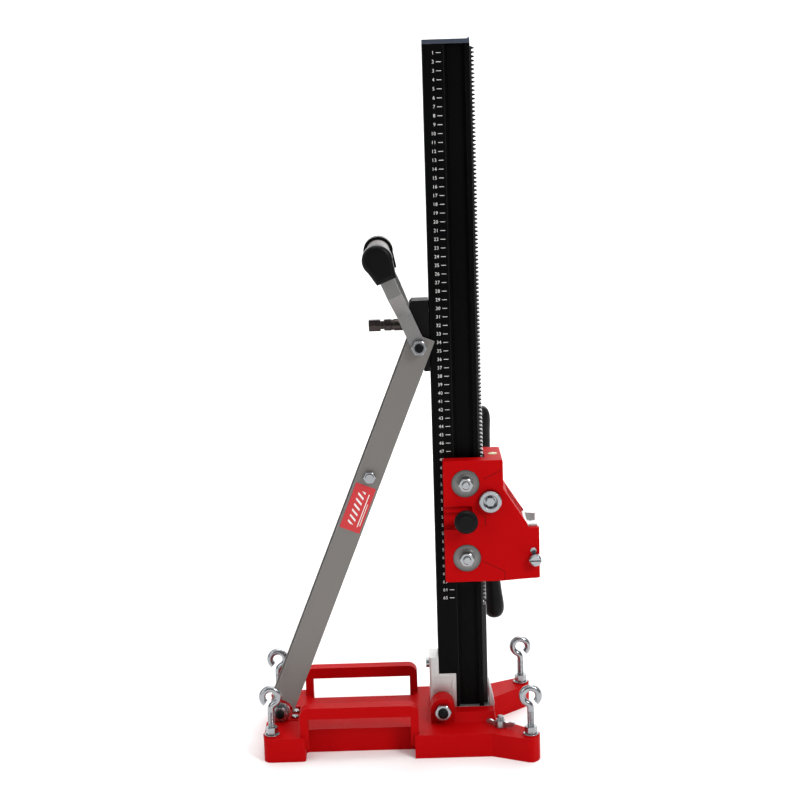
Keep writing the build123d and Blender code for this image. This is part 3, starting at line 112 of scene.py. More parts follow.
# fine and coarse mottling, stretched along an axis for drawn or ground metal
grainGroup, grainIn, grainOut = newGroup(
    "surfaceGrain",
    [("Stretch", "NodeSocketVector", (1, 1, 1)), ("Scale", "NodeSocketFloat", 900),
     ("Coarse", "NodeSocketFloat", 12)],
    [("Fine", "NodeSocketFloat"), ("Broad", "NodeSocketFloat")])
place = grainGroup.nodes.new("ShaderNodeTexCoord")
stretched = addNode(grainGroup, "ShaderNodeVectorMath", operation="MULTIPLY")
wire(grainGroup, place.outputs["Object"], stretched.inputs[0])
wire(grainGroup, grainIn.outputs["Stretch"], stretched.inputs[1])
fineNoise = addNode(grainGroup, "ShaderNodeTexNoise")
fineNoise.inputs["Detail"].default_value = 4
fineNoise.inputs["Roughness"].default_value = 0.6
wire(grainGroup, stretched.outputs[0], fineNoise.inputs["Vector"])
wire(grainGroup, grainIn.outputs["Scale"], fineNoise.inputs["Scale"])
broadNoise = addNode(grainGroup, "ShaderNodeTexNoise")
broadNoise.inputs["Detail"].default_value = 3
wire(grainGroup, place.outputs["Object"], broadNoise.inputs["Vector"])
wire(grainGroup, grainIn.outputs["Coarse"], broadNoise.inputs["Scale"])
wire(grainGroup, fineNoise.outputs[0], grainOut.inputs["Fine"])
wire(grainGroup, broadNoise.outputs[0], grainOut.inputs["Broad"])

# softened edges and the wear along them
edgeGroup, edgeIn, edgeOut = newGroup(
    "edgeWear",
    [("Radius", "NodeSocketFloat", 0.0005), ("Amount", "NodeSocketFloat", 0.5),
     ("Breakup", "NodeSocketFloat", 140)],
    [("Mask", "NodeSocketFloat"), ("Normal", "NodeSocketVector")])
softEdge = addNode(edgeGroup, "ShaderNodeBevel", samples=6)
wire(edgeGroup, edgeIn.outputs["Radius"], softEdge.inputs["Radius"])
flatNormal = edgeGroup.nodes.new("ShaderNodeNewGeometry")
together = addNode(edgeGroup, "ShaderNodeVectorMath", operation="DOT_PRODUCT")
wire(edgeGroup, softEdge.outputs[0], together.inputs[0])
wire(edgeGroup, flatNormal.outputs["Normal"], together.inputs[1])
turn = mapRange(edgeGroup, together.outputs["Value"], 0.998, 0.9, 0, 1)
breakPlace = edgeGroup.nodes.new("ShaderNodeTexCoord")
breakNoise = addNode(edgeGroup, "ShaderNodeTexNoise")
wire(edgeGroup, breakPlace.outputs["Object"], breakNoise.inputs["Vector"])
wire(edgeGroup, edgeIn.outputs["Breakup"], breakNoise.inputs["Scale"])
broken = mapRange(edgeGroup, breakNoise.outputs[0], 0.42, 0.62, 0, 1)
wornEdge = mathStep(edgeGroup, "MULTIPLY", turn, broken)
wornMask = mathStep(edgeGroup, "MULTIPLY", wornEdge, edgeIn.outputs["Amount"], True)
wire(edgeGroup, wornMask, edgeOut.inputs["Mask"])
wire(edgeGroup, softEdge.outputs[0], edgeOut.inputs["Normal"])

# pale dust that settles on faces that look up
dustGroup, dustIn, dustOut = newGroup(
    "settledDust", [("Amount", "NodeSocketFloat", 0.1)], [("Mask", "NodeSocketFloat")])
faceUp = dustGroup.nodes.new("ShaderNodeNewGeometry")
upPart = dustGroup.nodes.new("ShaderNodeSeparateXYZ")
wire(dustGroup, faceUp.outputs["Normal"], upPart.inputs[0])
dustPlace = dustGroup.nodes.new("ShaderNodeTexCoord")
dustNoise = addNode(dustGroup, "ShaderNodeTexNoise")
dustNoise.inputs["Scale"].default_value = 60
dustNoise.inputs["Detail"].default_value = 5
wire(dustGroup, dustPlace.outputs["Object"], dustNoise.inputs["Vector"])
lying = mapRange(dustGroup, upPart.outputs[2], 0.5, 1, 0, 1)
patchy = mapRange(dustGroup, dustNoise.outputs[0], 0.4, 0.75, 0, 1)
dustMask = mathStep(dustGroup, "MULTIPLY", lying, patchy)
settled = mathStep(dustGroup, "MULTIPLY", dustMask, dustIn.outputs["Amount"], True)
wire(dustGroup, settled, dustOut.inputs["Mask"])

# ridges of a screw thread, square to the Z axis, up to a height
threadGroup, threadIn, threadOut = newGroup(
    "screwThread",
    [("Pitch", "NodeSocketFloat", 0.00125), ("Top", "NodeSocketFloat", 0.06)],
    [("Ridge", "NodeSocketFloat")])
threadPlace = threadGroup.nodes.new("ShaderNodeTexCoord")
threadPart = threadGroup.nodes.new("ShaderNodeSeparateXYZ")
wire(threadGroup, threadPlace.outputs["Object"], threadPart.inputs[0])
turns = mathStep(threadGroup, "DIVIDE", threadPart.outputs[2], threadIn.outputs["Pitch"])
ridge = mathStep(threadGroup, "PINGPONG", turns, 0.5)
below = mathStep(threadGroup, "LESS_THAN", threadPart.outputs[2], threadIn.outputs["Top"])
wire(threadGroup, mathStep(threadGroup, "MULTIPLY", ridge, below), threadOut.inputs["Ridge"])


def finishMaterial(name, look):
    mat = bpy.data.materials.new(name)
    mat.use_nodes = True
    tree = mat.node_tree
    shader = tree.nodes["Principled BSDF"]
    shader.inputs["Metallic"].default_value = look.get("metallic", 0)
    shader.inputs["Coat Weight"].default_value = look.get("coat", 0)
    shader.inputs["Coat Roughness"].default_value = look.get("coatRoughness", 0.15)
    shader.inputs["Specular IOR Level"].default_value = look.get("specular", 0.5)
    grain = placeGroup(
        tree, grainGroup, Stretch=look.get("stretch", (1, 1, 1)),
        Scale=look.get("grain", 900), Coarse=look.get("broad", 12))
    edge = placeGroup(
        tree, edgeGroup, Radius=look.get("edge", 0.5) * mm, Amount=look.get("wear", 0.3),
        Breakup=look.get("breakup", 140))
    dust = placeGroup(tree, dustGroup, Amount=look.get("dust", 0.05))
    colour = mixColour(tree, grain.outputs["Broad"], look["colour"], look.get("second", look["colour"]))
    speckle = mapRange(tree, grain.outputs["Fine"], 0.3, 0.7, 0, look.get("speckle", 0.15))
    colour = mixColour(tree, speckle, colour, look.get("dark", tuple(0.6 * c for c in look["colour"])))
    colour = mixColour(tree, edge.outputs["Mask"], colour, look.get("worn", look["colour"]))
    colour = mixColour(tree, dust.outputs["Mask"], colour, (0.55, 0.53, 0.5))
    wire(tree, colour, shader.inputs["Base Color"])
    smooth, rough = look["roughness"]
    gloss = mathStep(tree, "ADD", grain.outputs["Fine"], grain.outputs["Broad"])
    wire(tree, mapRange(tree, gloss, 0.7, 1.3, smooth, rough), shader.inputs["Roughness"])
    bump = addNode(tree, "ShaderNodeBump")
    bump.inputs["Strength"].default_value = look.get("bump", 0.1)
    bump.inputs["Distance"].default_value = look.get("depth", 0.1) * mm
    wire(tree, grain.outputs["Fine"], bump.inputs["Height"])
    wire(tree, edge.outputs["Normal"], bump.inputs["Normal"])
    wire(tree, bump.outputs[0], shader.inputs["Normal"])
    mat["looks"] = name
    return mat, tree, shader, colour, bump


def objectPlace(tree):
    place = tree.nodes.new("ShaderNodeTexCoord")
    parts = tree.nodes.new("ShaderNodeSeparateXYZ")
    wire(tree, place.outputs["Object"], parts.inputs[0])
    return place.outputs["Object"], parts


redPaint, *_ = finishMaterial("redPaint", {
    "colour": (0.45, 0.0018, 0.003), "second": (0.4, 0.0015, 0.0025), "dark": (0.3, 0.001, 0.0015),
    "worn": (0.56, 0.03, 0.03), "speckle": 0.14, "roughness": (0.34, 0.5), "grain": 700, "broad": 9,
    "bump": 0.16, "depth": 0.12, "edge": 1.0, "wear": 0.35, "specular": 0.03, "dust": 0.0})

zincLook = {
    "colour": (0.42, 0.435, 0.45), "second": (0.33, 0.345, 0.36), "dark": (0.18, 0.185, 0.19),
    "worn": (0.8, 0.81, 0.83), "metallic": 1, "roughness": (0.14, 0.3), "grain": 1400,
    "speckle": 0.25, "bump": 0.06, "depth": 0.06, "edge": 0.4, "wear": 0.5}
zincPlate, *_ = finishMaterial("zincPlate", zincLook)

threadLook = {"pitch": 1.25, "top": 58, "strength": 0.8, "depth": 0.7}
threadedZinc, tree, shader, _, bump = finishMaterial("threadedZinc", zincLook)
thread = placeGroup(tree, threadGroup, Pitch=threadLook["pitch"] * mm, Top=threadLook["top"] * mm)
threadBump = addNode(tree, "ShaderNodeBump")
threadBump.inputs["Strength"].default_value = threadLook["strength"]
threadBump.inputs["Distance"].default_value = threadLook["depth"] * mm
wire(tree, thread.outputs["Ridge"], threadBump.inputs["Height"])
wire(tree, bump.outputs[0], threadBump.inputs["Normal"])
wire(tree, threadBump.outputs[0], shader.inputs["Normal"])

blackAnodised, *_ = finishMaterial("blackAnodised", {
    "colour": (0.0014, 0.0014, 0.0015), "second": (0.002, 0.002, 0.0022), "dark": (0.0008, 0.0008, 0.0008),
    "worn": (0.03, 0.03, 0.032), "roughness": (0.34, 0.46), "stretch": (1, 1, 0.02),
    "grain": 1800, "speckle": 0.3, "bump": 0.12, "depth": 0.05, "edge": 0.35, "wear": 0.5,
    "specular": 0.05, "dust": 0.005})

blackCoat, *_ = finishMaterial("blackCoat", {
    "colour": (0.0022, 0.0022, 0.0026), "second": (0.0035, 0.0035, 0.004), "worn": (0.06, 0.06, 0.065),
    "roughness": (0.4, 0.55), "grain": 900, "bump": 0.15, "depth": 0.1, "edge": 0.5, "wear": 0.4,
    "specular": 0.12, "dust": 0.01})

bareAluminium, *_ = finishMaterial("bareAluminium", {
    "colour": (0.6, 0.6, 0.59), "second": (0.53, 0.53, 0.52), "dark": (0.4, 0.4, 0.4),
    "worn": (0.9, 0.9, 0.9), "metallic": 0.85, "roughness": (0.34, 0.5), "stretch": (1, 1, 0.15),
    "grain": 1500, "speckle": 0.25, "bump": 0.12, "depth": 0.06, "edge": 0.5, "wear": 0.5})

# strut coat: the lighter colour along its edges is partly worn bare paint and partly painted highlight
strutCoat, *_ = finishMaterial("strutCoat", {
    "colour": (0.215, 0.2, 0.185), "second": (0.19, 0.178, 0.166), "dark": (0.12, 0.115, 0.11),
    "worn": (0.38, 0.37, 0.36), "metallic": 0.45, "roughness": (0.4, 0.52), "grain": 2200,
    "speckle": 0.35, "bump": 0.1, "depth": 0.05, "edge": 0.8, "wear": 0.6, "broad": 5})

brushedSteel, *_ = finishMaterial("brushedSteel", {
    "colour": (0.34, 0.335, 0.33), "second": (0.28, 0.275, 0.27), "dark": (0.17, 0.165, 0.16),
    "worn": (0.75, 0.75, 0.75), "metallic": 0.9, "roughness": (0.26, 0.42), "stretch": (1, 1, 0.12),
    "grain": 1600, "speckle": 0.3, "bump": 0.1, "depth": 0.05, "edge": 0.5, "wear": 0.6})

blackPlastic, *_ = finishMaterial("blackPlastic", {
    "colour": (0.0022, 0.0022, 0.0026), "second": (0.0035, 0.0035, 0.004), "worn": (0.03, 0.03, 0.032),
    "roughness": (0.28, 0.42), "grain": 1300, "bump": 0.1, "depth": 0.06, "edge": 0.6, "wear": 0.3,
    "specular": 0.12, "dust": 0.0})

darkSteel, *_ = finishMaterial("darkSteel", {
    "colour": (0.07, 0.056, 0.052), "second": (0.045, 0.036, 0.034), "dark": (0.02, 0.016, 0.015),
    "worn": (0.34, 0.31, 0.3), "metallic": 0.85, "roughness": (0.2, 0.32), "stretch": (1, 0.15, 1),
    "grain": 1500, "speckle": 0.35, "bump": 0.12, "depth": 0.06, "edge": 0.4, "wear": 0.5})

greySleeve, *_ = finishMaterial("greySleeve", {
    "colour": (0.2, 0.18, 0.17), "second": (0.16, 0.145, 0.137), "dark": (0.1, 0.09, 0.085),
    "roughness": (0.45, 0.6), "stretch": (1, 0.35, 1), "grain": 1600, "bump": 0.25, "depth": 0.1,
    "speckle": 0.45})

bronze, *_ = finishMaterial("sinteredBronze", {
    "colour": (0.5, 0.3, 0.12), "second": (0.42, 0.25, 0.1), "metallic": 1, "roughness": (0.35, 0.5),
    "grain": 2500, "speckle": 0.4})

brakeLining, *_ = finishMaterial("brakeLining", {
    "colour": (0.09, 0.07, 0.055), "second": (0.06, 0.05, 0.04), "roughness": (0.7, 0.85),
    "grain": 1200, "speckle": 0.5, "bump": 0.4, "depth": 0.2})

rollerNylon, *_ = finishMaterial("rollerNylon", {
    "colour": (0.72, 0.71, 0.66), "second": (0.66, 0.65, 0.6), "roughness": (0.35, 0.5), "grain": 900})

capCoat, *_ = finishMaterial("capCoat", {
    "colour": (0.055, 0.068, 0.1), "second": (0.04, 0.05, 0.078), "worn": (0.24, 0.27, 0.32),
    "dark": (0.02, 0.025, 0.04), "roughness": (0.38, 0.52), "grain": 900, "bump": 0.15, "edge": 0.4,
    "wear": 0.6, "metallic": 0.3, "speckle": 0.5, "dust": 0.0})

printWhite, *_ = finishMaterial("printWhite", {
    "colour": (0.85, 0.85, 0.83), "second": (0.76, 0.76, 0.75), "roughness": (0.45, 0.6), "grain": 2400,
    "speckle": 0.15, "wear": 0, "edge": 0.01, "bump": 0.02})

# painted shade: dark red for the shaded seam and recess lines on the carriage
seamShade, *_ = finishMaterial("seamShade", {
    "colour": (0.035, 0.001, 0.0015), "second": (0.025, 0.001, 0.001), "roughness": (0.55, 0.7),
    "grain": 900, "wear": 0, "edge": 0.05, "specular": 0.1})

# rack: dark body, bright crests of the teeth
rackSteel, tree, shader, colour, _ = finishMaterial("rackSteel", {
    "colour": (0.028, 0.028, 0.03), "second": (0.04, 0.04, 0.042), "metallic": 0.8,
    "roughness": (0.3, 0.46), "grain": 1500, "speckle": 0.3, "edge": 0.3, "wear": 0.5,
    "worn": (0.4, 0.4, 0.41)})
crestLook = {"start": 0.5, "full": 0.15, "share": 0.9, "colour": (0.62, 0.62, 0.63)}
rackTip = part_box("gear_rack")[1].x
_, parts = objectPlace(tree)
crest = mapRange(tree, parts.outputs[0], rackTip - crestLook["start"] * mm, rackTip - crestLook["full"] * mm,
                 0, crestLook["share"])
wire(tree, mixColour(tree, crest, colour, crestLook["colour"]), shader.inputs["Base Color"])

# roller discs: turned steel with rings round each stud; the colour is darkened towards the rim and in the
# ring grooves as painted shade
turnedDisc, tree, shader, colour, bump = finishMaterial("turnedDisc", {
    "colour": (0.27, 0.26, 0.25), "second": (0.21, 0.203, 0.197), "dark": (0.12, 0.118, 0.115),
    "worn": (0.7, 0.7, 0.7), "metallic": 0.95, "roughness": (0.26, 0.4), "grain": 1300,
    "speckle": 0.3, "edge": 0.5, "wear": 0.6})
ringLook = {"perMetre": 2600, "strength": 0.45, "depth": 0.1, "groove": 0.3, "groovePaintedShade": 0.35,
            "rim": (0.7, 0.98), "rimPaintedShade": 0.65, "dark": (0.05, 0.048, 0.046)}
discLow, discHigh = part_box("roller_discs")
discX = (discLow.x + discHigh.x) / 2
discRadius = (discHigh.x - discLow.x) / 2
_, parts = objectPlace(tree)
fromAxis = mathStep(tree, "SUBTRACT", parts.outputs[0], discX)
upper = mathStep(tree, "SUBTRACT", parts.outputs[2], discHigh.z - discRadius)
lower = mathStep(tree, "SUBTRACT", parts.outputs[2], discLow.z + discRadius)
nearest = mathStep(tree, "MINIMUM", mathStep(tree, "ABSOLUTE", upper), mathStep(tree, "ABSOLUTE", lower))
radius = mathStep(tree, "SQRT", mathStep(
    tree, "ADD", mathStep(tree, "POWER", fromAxis, 2), mathStep(tree, "POWER", nearest, 2)))
rings = mathStep(tree, "PINGPONG", mathStep(tree, "MULTIPLY", radius, ringLook["perMetre"]), 1)
ringBump = addNode(tree, "ShaderNodeBump")
ringBump.inputs["Strength"].default_value = ringLook["strength"]
ringBump.inputs["Distance"].default_value = ringLook["depth"] * mm
wire(tree, rings, ringBump.inputs["Height"])
wire(tree, bump.outputs[0], ringBump.inputs["Normal"])
wire(tree, ringBump.outputs[0], shader.inputs["Normal"])
# painted shade: the colour darkens towards the rim of each disc and in the turning grooves
rimStart, rimEnd = (share * discRadius for share in ringLook["rim"])
rimShade = mapRange(tree, radius, rimStart, rimEnd, 0, ringLook["rimPaintedShade"])
grooveShade = mathStep(
    tree, "MULTIPLY", mathStep(tree, "LESS_THAN", rings, ringLook["groove"]), ringLook["groovePaintedShade"])
wire(tree, mixColour(tree, mathStep(tree, "MAXIMUM", rimShade, grooveShade), colour, ringLook["dark"]),
     shader.inputs["Base Color"])

# strut label: red field with white bars and chevrons, no lettering
labelLow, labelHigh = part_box("label_plate")
labelCentre = (labelLow + labelHigh) / 2
joints = {joint["name"]: joint for joint in frame["joints"]}
strutTop = Vector(joints["strut_swing"]["pos_m"])
baseLow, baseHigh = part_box("strut_base_washers")
strutFoot = Vector(((baseLow.x + baseHigh.x) / 2, 0, (baseLow.z + baseHigh.z) / 2))
strutDir = (strutTop - strutFoot).normalized()
strutAcross = Vector((strutDir.z, 0, -strutDir.x))
labelPrint, tree, shader, colour, _ = finishMaterial("labelPrint", {
    "colour": (0.56, 0.006, 0.012), "second": (0.5, 0.005, 0.01), "roughness": (0.28, 0.4), "grain": 900,
    "speckle": 0.08, "coat": 0.3, "wear": 0.4, "edge": 0.3, "worn": (0.7, 0.3, 0.3)})
spot, _ = objectPlace(tree)
local = addNode(tree, "ShaderNodeVectorMath", operation="SUBTRACT")
wire(tree, spot, local.inputs[0])
local.inputs[1].default_value = labelCentre


def alongAxis(tree, source, axis):
    node = addNode(tree, "ShaderNodeVectorMath", operation="DOT_PRODUCT")
    wire(tree, source, node.inputs[0])
    node.inputs[1].default_value = axis
    return node.outputs["Value"]


def stripe(tree, value, centre, halfWidth):
    away = mathStep(tree, "ABSOLUTE", mathStep(tree, "SUBTRACT", value, centre))
    return mathStep(tree, "LESS_THAN", away, halfWidth)


lengthwise = alongAxis(tree, local.outputs[0], strutDir)
crosswise = alongAxis(tree, local.outputs[0], strutAcross)
labelLook = {"bars": ((-7.2, 0.5, 21, -1), (-9.6, 0.35, 14, -6)), "slant": 0.6, "pitch": 3.5, "share": 0.36,
             "bandMiddle": -1.5, "bandHalf": 4.2, "bandReach": 21, "print": (0.75, 0.74, 0.72)}
pattern = None
for across, thick, reach, middle in labelLook["bars"]:
    bar = mathStep(
        tree, "MULTIPLY", stripe(tree, crosswise, -across * mm, thick * mm),
        stripe(tree, lengthwise, middle * mm, reach * mm))
    pattern = bar if pattern is None else mathStep(tree, "MAXIMUM", pattern, bar)
slant = mathStep(tree, "ADD", lengthwise, mathStep(tree, "MULTIPLY", crosswise, labelLook["slant"]))
waves = mathStep(tree, "PINGPONG", mathStep(tree, "MULTIPLY", slant, 1 / (labelLook["pitch"] * mm)), 1)
band = mathStep(
    tree, "MULTIPLY", stripe(tree, crosswise, labelLook["bandMiddle"] * mm, labelLook["bandHalf"] * mm),
    stripe(tree, lengthwise, 0.0, labelLook["bandReach"] * mm))
chevrons = mathStep(tree, "MULTIPLY", mathStep(tree, "LESS_THAN", waves, labelLook["share"]), band)
pattern = mathStep(tree, "MAXIMUM", pattern, chevrons)
wire(tree, mixColour(tree, pattern, colour, labelLook["print"]), shader.inputs["Base Color"])

# level vial: tinted glass
vialGlass, _, shader, *_ = finishMaterial("vialGlass", {
    "colour": (0.85, 0.8, 0.38), "second": (0.8, 0.74, 0.3), "roughness": (0.08, 0.16), "grain": 400,
    "wear": 0, "edge": 0.3})
shader.inputs["Transmission Weight"].default_value = 0.35
shader.inputs["IOR"].default_value = 1.45

looksByNode = {
    "base_casting": redPaint, "carriage_body": redPaint, "column_extrusion": blackAnodised,
    "column_cap": capCoat, "gear_rack": rackSteel, "column_foot": bareAluminium,
    "strut_bracket": redPaint, "machine_plate": bareAluminium, "strut_channel": strutCoat,
    "label_plate": labelPrint, "lever_frame": brushedSteel, "grip_boot_near": blackPlastic,
    "grip_boot_far": blackPlastic, "bar_grips": blackPlastic, "lock_knob": blackPlastic,
    "pivot_caps": blackPlastic, "top_bolt_cap": blackPlastic, "base_bolt_cap": blackPlastic,
    "grip_sleeve": greySleeve, "clamp_block": blackCoat, "level_vial": vialGlass,
    "pinion_bushes": bronze, "brake_pad": brakeLining, "upper_rollers": rollerNylon,
    "lower_rollers": rollerNylon, "roller_discs": turnedDisc, "clamp_spindle": darkSteel,
}
for name, node in nodes.items():
    look = looksByNode.get(name)
    if look is None:
        look = threadedZinc if name.startswith("eye_bolt") or name == "wing_stud" else zincPlate
    node.data.materials.clear()
    node.data.materials.append(look)
print("finishes placed on", len(nodes), "pieces")


def meshPiece(name, build, material, body):
    bm = bmesh.new()
    build(bm)
    data = bpy.data.meshes.new(name)
    bm.to_mesh(data)
    bm.free()
    piece = bpy.data.objects.new(name, data)
    scene.collection.objects.link(piece)
    data.materials.append(material)
    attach(piece, body)
    return piece


def flatStrip(bm, start, end, width, normal, lift):
    along = (end - start).normalized()
    side = along.cross(normal).normalized() * width / 2
    corners = [start - side, start + side, end + side, end - side]
    low = [bm.verts.new(corner - normal * lift) for corner in corners]
    high = [bm.verts.new(corner + normal * lift) for corner in corners]
    bm.faces.new(high)
    bm.faces.new(low[::-1])
    for n in range(4):
        bm.faces.new((low[n], low[(n + 1) % 4], high[(n + 1) % 4], high[n]))


# centimetre scale on the near flank of the column
columnLow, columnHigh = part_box("column_extrusion")
scaleLook = {"marks": 65, "first": 10, "step": 10, "tick": (15.7, 21.2), "tickWidth": 0.55,
             "figureEdge": 13.4, "figureHeight": 5.6, "thinner": 0.03, "line": 24.1, "lineWidth": 0.3,
             "spacing": 1.12, "narrow": 0.92, "lineEnds": (4, 2)}
printLift = 0.03 * mm
lineLift = 0.02 * mm
flankY = columnLow.y - printLift
nearSide = Vector((0, -1, 0))


def markHeight(number):
    return columnHigh.z - (scaleLook["first"] + (number - 1) * scaleLook["step"]) * mm


def buildTicks(bm):
    for number in range(1, scaleLook["marks"] + 1):
        z = markHeight(number)
        start, end = (columnLow.x + edge * mm for edge in scaleLook["tick"])
        flatStrip(bm, Vector((start, flankY, z)), Vector((end, flankY, z)),
                  scaleLook["tickWidth"] * mm, nearSide, printLift)


meshPiece("scaleTicks", buildTicks, printWhite, "column")


def buildFigures(bm):
    for number in range(1, scaleLook["marks"] + 1):
        text = bpy.data.curves.new("figure", "FONT")
        text.body = str(number)
        text.align_x = "RIGHT"
        text.align_y = "CENTER"
        text.size = scaleLook["figureHeight"] * mm
        text.resolution_u = 3
        text.offset = -scaleLook["thinner"] * mm
        text.space_character = scaleLook["spacing"]
        holder = bpy.data.objects.new("figure", text)
        scene.collection.objects.link(holder)
        depsgraph = bpy.context.evaluated_depsgraph_get()
        flat = bpy.data.meshes.new_from_object(holder.evaluated_get(depsgraph))
        x = columnLow.x + scaleLook["figureEdge"] * mm
        spotOnFlank = Matrix.Translation((x, flankY - lineLift, markHeight(number)))
        upright = Matrix.Rotation(math.radians(90), 4, "X")
        flat.transform(spotOnFlank @ upright @ Matrix.Diagonal((scaleLook["narrow"], 1, 1, 1)))
        bm.from_mesh(flat)
        bpy.data.objects.remove(holder)
        bpy.data.meshes.remove(flat)
        bpy.data.curves.remove(text)


meshPiece("scaleFigures", buildFigures, printWhite, "column")
print("column scale printed")

# painted highlight: a faint light line where the profile step catches light, beside the roller channel
stepHighlight, *_ = finishMaterial("stepHighlight", {
    "colour": (0.02, 0.02, 0.022), "second": (0.015, 0.015, 0.017), "roughness": (0.4, 0.5),
    "stretch": (1, 1, 0.02), "grain": 1800, "wear": 0, "edge": 0.05, "specular": 0.1})


def buildLines(bm):
    x = columnLow.x + scaleLook["line"] * mm
    lowEnd, highEnd = (end * mm for end in scaleLook["lineEnds"])
    for y in (columnLow.y - lineLift, columnHigh.y + lineLift):
        flatStrip(bm, Vector((x, y, columnLow.z + lowEnd)), Vector((x, y, columnHigh.z - highEnd)),
                  scaleLook["lineWidth"] * mm, nearSide, lineLift)


meshPiece("profileStepHighlight", buildLines, stepHighlight, "column")

# painted shade: fine dark lines where the seams and recess edges of the carriage casting fall into shade
carriageLow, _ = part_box("carriage_body")
seamShadeLook = {"width": 0.6, "paths": (
    ((47.6, 125.0), (68.6, 135.2)),
    ((44.6, 25.4), (70.3, 11.5), (70.3, 1.5)),
    ((48.4, 68.0), (48.4, 80.2)))}


def buildSeams(bm):
    y = carriageLow.y - lineLift
    for path in seamShadeLook["paths"]:
        points = [Vector((carriageLow.x + x * mm, y, carriageLow.z + z * mm)) for x, z in path]
        for start, end in zip(points, points[1:]):
            flatStrip(bm, start, end, seamShadeLook["width"] * mm, nearSide, lineLift)


meshPiece("carriageSeamShade", buildSeams, seamShade, "carriage")

# bubble and ring of the level
bubbleLook = {"radius": 1.6, "flatness": 0.35, "aside": 0.3, "lift": 0.05, "ring": 2.6, "ringWire": 0.12}
vialLow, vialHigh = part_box("level_vial")
vialCentre = Vector(((vialLow.x + vialHigh.x) / 2, (vialLow.y + vialHigh.y) / 2, vialHigh.z))


def buildBubble(bm):
    made = bmesh.ops.create_uvsphere(bm, u_segments=24, v_segments=12, radius=bubbleLook["radius"] * mm)
    for vert in made["verts"]:
        vert.co.z *= bubbleLook["flatness"]
        vert.co += vialCentre + Vector((bubbleLook["aside"] * mm, 0, bubbleLook["lift"] * mm))


meshPiece("levelBubble", buildBubble, rollerNylon, "carriage")


def buildRing(bm, segments=48, sides=10):
    radius = bubbleLook["ring"] * mm
    wireRadius = bubbleLook["ringWire"] * mm
    rows = []
    for n in range(segments):
        angle = 2 * math.pi * n / segments
        out = Vector((math.cos(angle), math.sin(angle), 0))
        row = []
        for k in range(sides):
            around = 2 * math.pi * k / sides
            rise = Vector((0, 0, wireRadius * math.sin(around)))
            point = out * (radius + wireRadius * math.cos(around)) + rise
            row.append(bm.verts.new(vialCentre + point))
        rows.append(row)
    for n in range(segments):
        for k in range(sides):
            face = bm.faces.new((rows[n][k], rows[(n + 1) % segments][k],
                                 rows[(n + 1) % segments][(k + 1) % sides], rows[n][(k + 1) % sides]))
            face.smooth = True


meshPiece("levelRing", buildRing, blackPlastic, "carriage")
print("carriage details made")

# stage, light and camera
stageLook = {"near": -3.2, "far": 3.4, "half": 4.5, "height": 3.2, "curve": 1.0, "steps": 12}
floorMesh = bmesh.new()
profile = [(stageLook["near"], 0.0), (stageLook["far"] - stageLook["curve"], 0.0)]
for n in range(1, stageLook["steps"] + 1):
    angle = math.radians(90 * n / stageLook["steps"])
    profile.append((stageLook["far"] - stageLook["curve"] + stageLook["curve"] * math.sin(angle),
                    stageLook["curve"] * (1 - math.cos(angle))))
profile.append((stageLook["far"], stageLook["height"]))
rows = [[floorMesh.verts.new((x, y, z)) for x in (-stageLook["half"], stageLook["half"])] for y, z in profile]
for first, second in zip(rows, rows[1:]):
    floorMesh.faces.new((first[0], first[1], second[1], second[0])).smooth = True
floorData = bpy.data.meshes.new("studioFloor")
floorMesh.to_mesh(floorData)
floorMesh.free()
floor = bpy.data.objects.new("studioFloor", floorData)
scene.collection.objects.link(floor)
paper, *_ = finishMaterial("studioPaper", {
    "colour": (0.93, 0.93, 0.93), "second": (0.91, 0.91, 0.91), "dark": (0.88, 0.88, 0.88), "speckle": 0.05,
    "roughness": (0.6, 0.7), "grain": 300, "wear": 0, "dust": 0, "bump": 0.02, "specular": 0.2})
floorData.materials.append(paper)

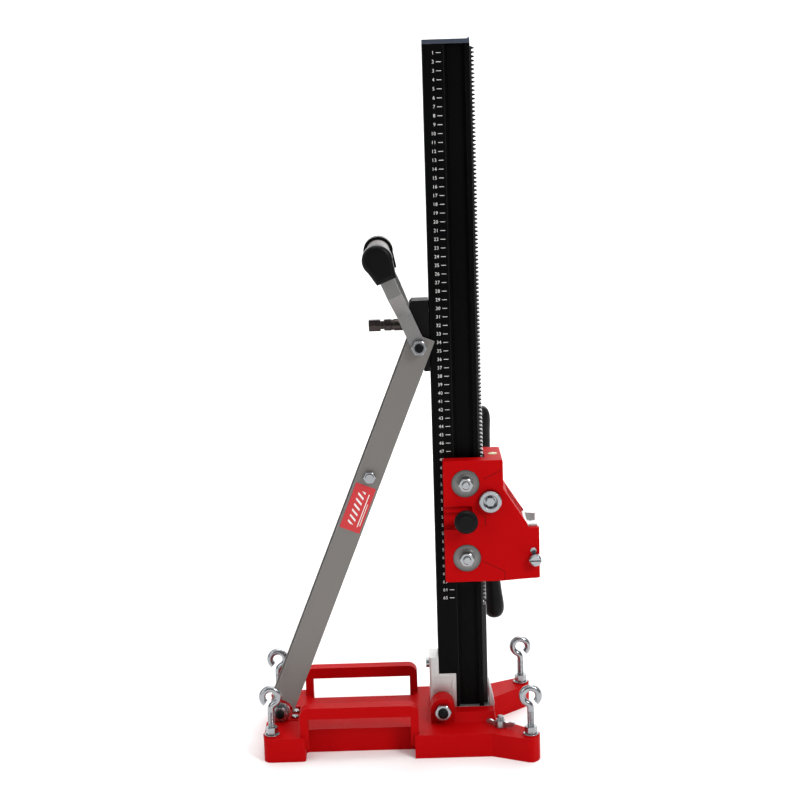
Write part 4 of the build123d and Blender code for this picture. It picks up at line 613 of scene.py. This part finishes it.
world = bpy.data.worlds.new("studio")
scene.world = world
world.use_nodes = True
worldLook = {"front": (0.10, 0.10, 0.11), "back": (1.0, 1.0, 1.0), "strength": 1.0,
             "depthRange": (-0.35, 0.35), "heightRange": (0.35, 0.95)}
sky = world.node_tree
skyPlace = sky.nodes.new("ShaderNodeTexCoord")
skyParts = sky.nodes.new("ShaderNodeSeparateXYZ")
wire(sky, skyPlace.outputs["Generated"], skyParts.inputs[0])
depth = mapRange(sky, skyParts.outputs[1], *worldLook["depthRange"], 0, 1)
height = mapRange(sky, skyParts.outputs[2], *worldLook["heightRange"], 0, 1)
shade = mixColour(sky, mathStep(sky, "MAXIMUM", depth, height), worldLook["front"], worldLook["back"])
wire(sky, shade, sky.nodes["Background"].inputs[0])
sky.nodes["Background"].inputs[1].default_value = worldLook["strength"]


def softLight(name, place, target, size, power):
    lamp = bpy.data.lights.new(name, "AREA")
    lamp.shape = "RECTANGLE"
    lamp.size, lamp.size_y = size
    lamp.energy = power
    holder = bpy.data.objects.new(name, lamp)
    holder.location = place
    holder.rotation_euler = (Vector(target) - Vector(place)).to_track_quat("-Z", "Y").to_euler()
    scene.collection.objects.link(holder)


softLight("keyLight", (1.5, -1.8, 1.8), (0, 0, 0.35), (0.8, 1.1), 40)
softLight("fillLight", (-1.9, -1.4, 1.1), (0, 0, 0.35), (0.6, 1.6), 11)
softLight("topLight", (0.1, 0.3, 2.4), (0, 0, 0.3), (1.6, 1.2), 18)
softLight("rimLight", (0.8, 1.8, 1.4), (0, 0, 0.5), (1.2, 1.2), 12)
softLight("backdropLight", (0, 1.5, 2.1), (0, 3.3, 0.5), (3.0, 0.8), 55)

cameraLook = {"place": (-0.0311, -1.9475, 0.8026), "yaw": -0.2626, "pitch": 11.213, "roll": -1.791,
              "lens": 75.68}
yaw, pitch, roll = (math.radians(cameraLook[key]) for key in ("yaw", "pitch", "roll"))
forward = Vector((math.sin(yaw) * math.cos(pitch), math.cos(yaw) * math.cos(pitch), -math.sin(pitch)))
right = Vector((math.cos(yaw), -math.sin(yaw), 0))
up = right.cross(forward)
rolledRight = math.cos(roll) * right + math.sin(roll) * up
rolledUp = -math.sin(roll) * right + math.cos(roll) * up
cameraData = bpy.data.cameras.new("camera")
cameraData.lens = cameraLook["lens"]
cameraData.sensor_width = 36
cameraData.clip_end = 30
camera = bpy.data.objects.new("camera", cameraData)
scene.collection.objects.link(camera)
turned = Matrix((rolledRight, rolledUp, -forward)).transposed().to_4x4()
camera.matrix_world = Matrix.Translation(cameraLook["place"]) @ turned
scene.camera = camera

print("scene ready")
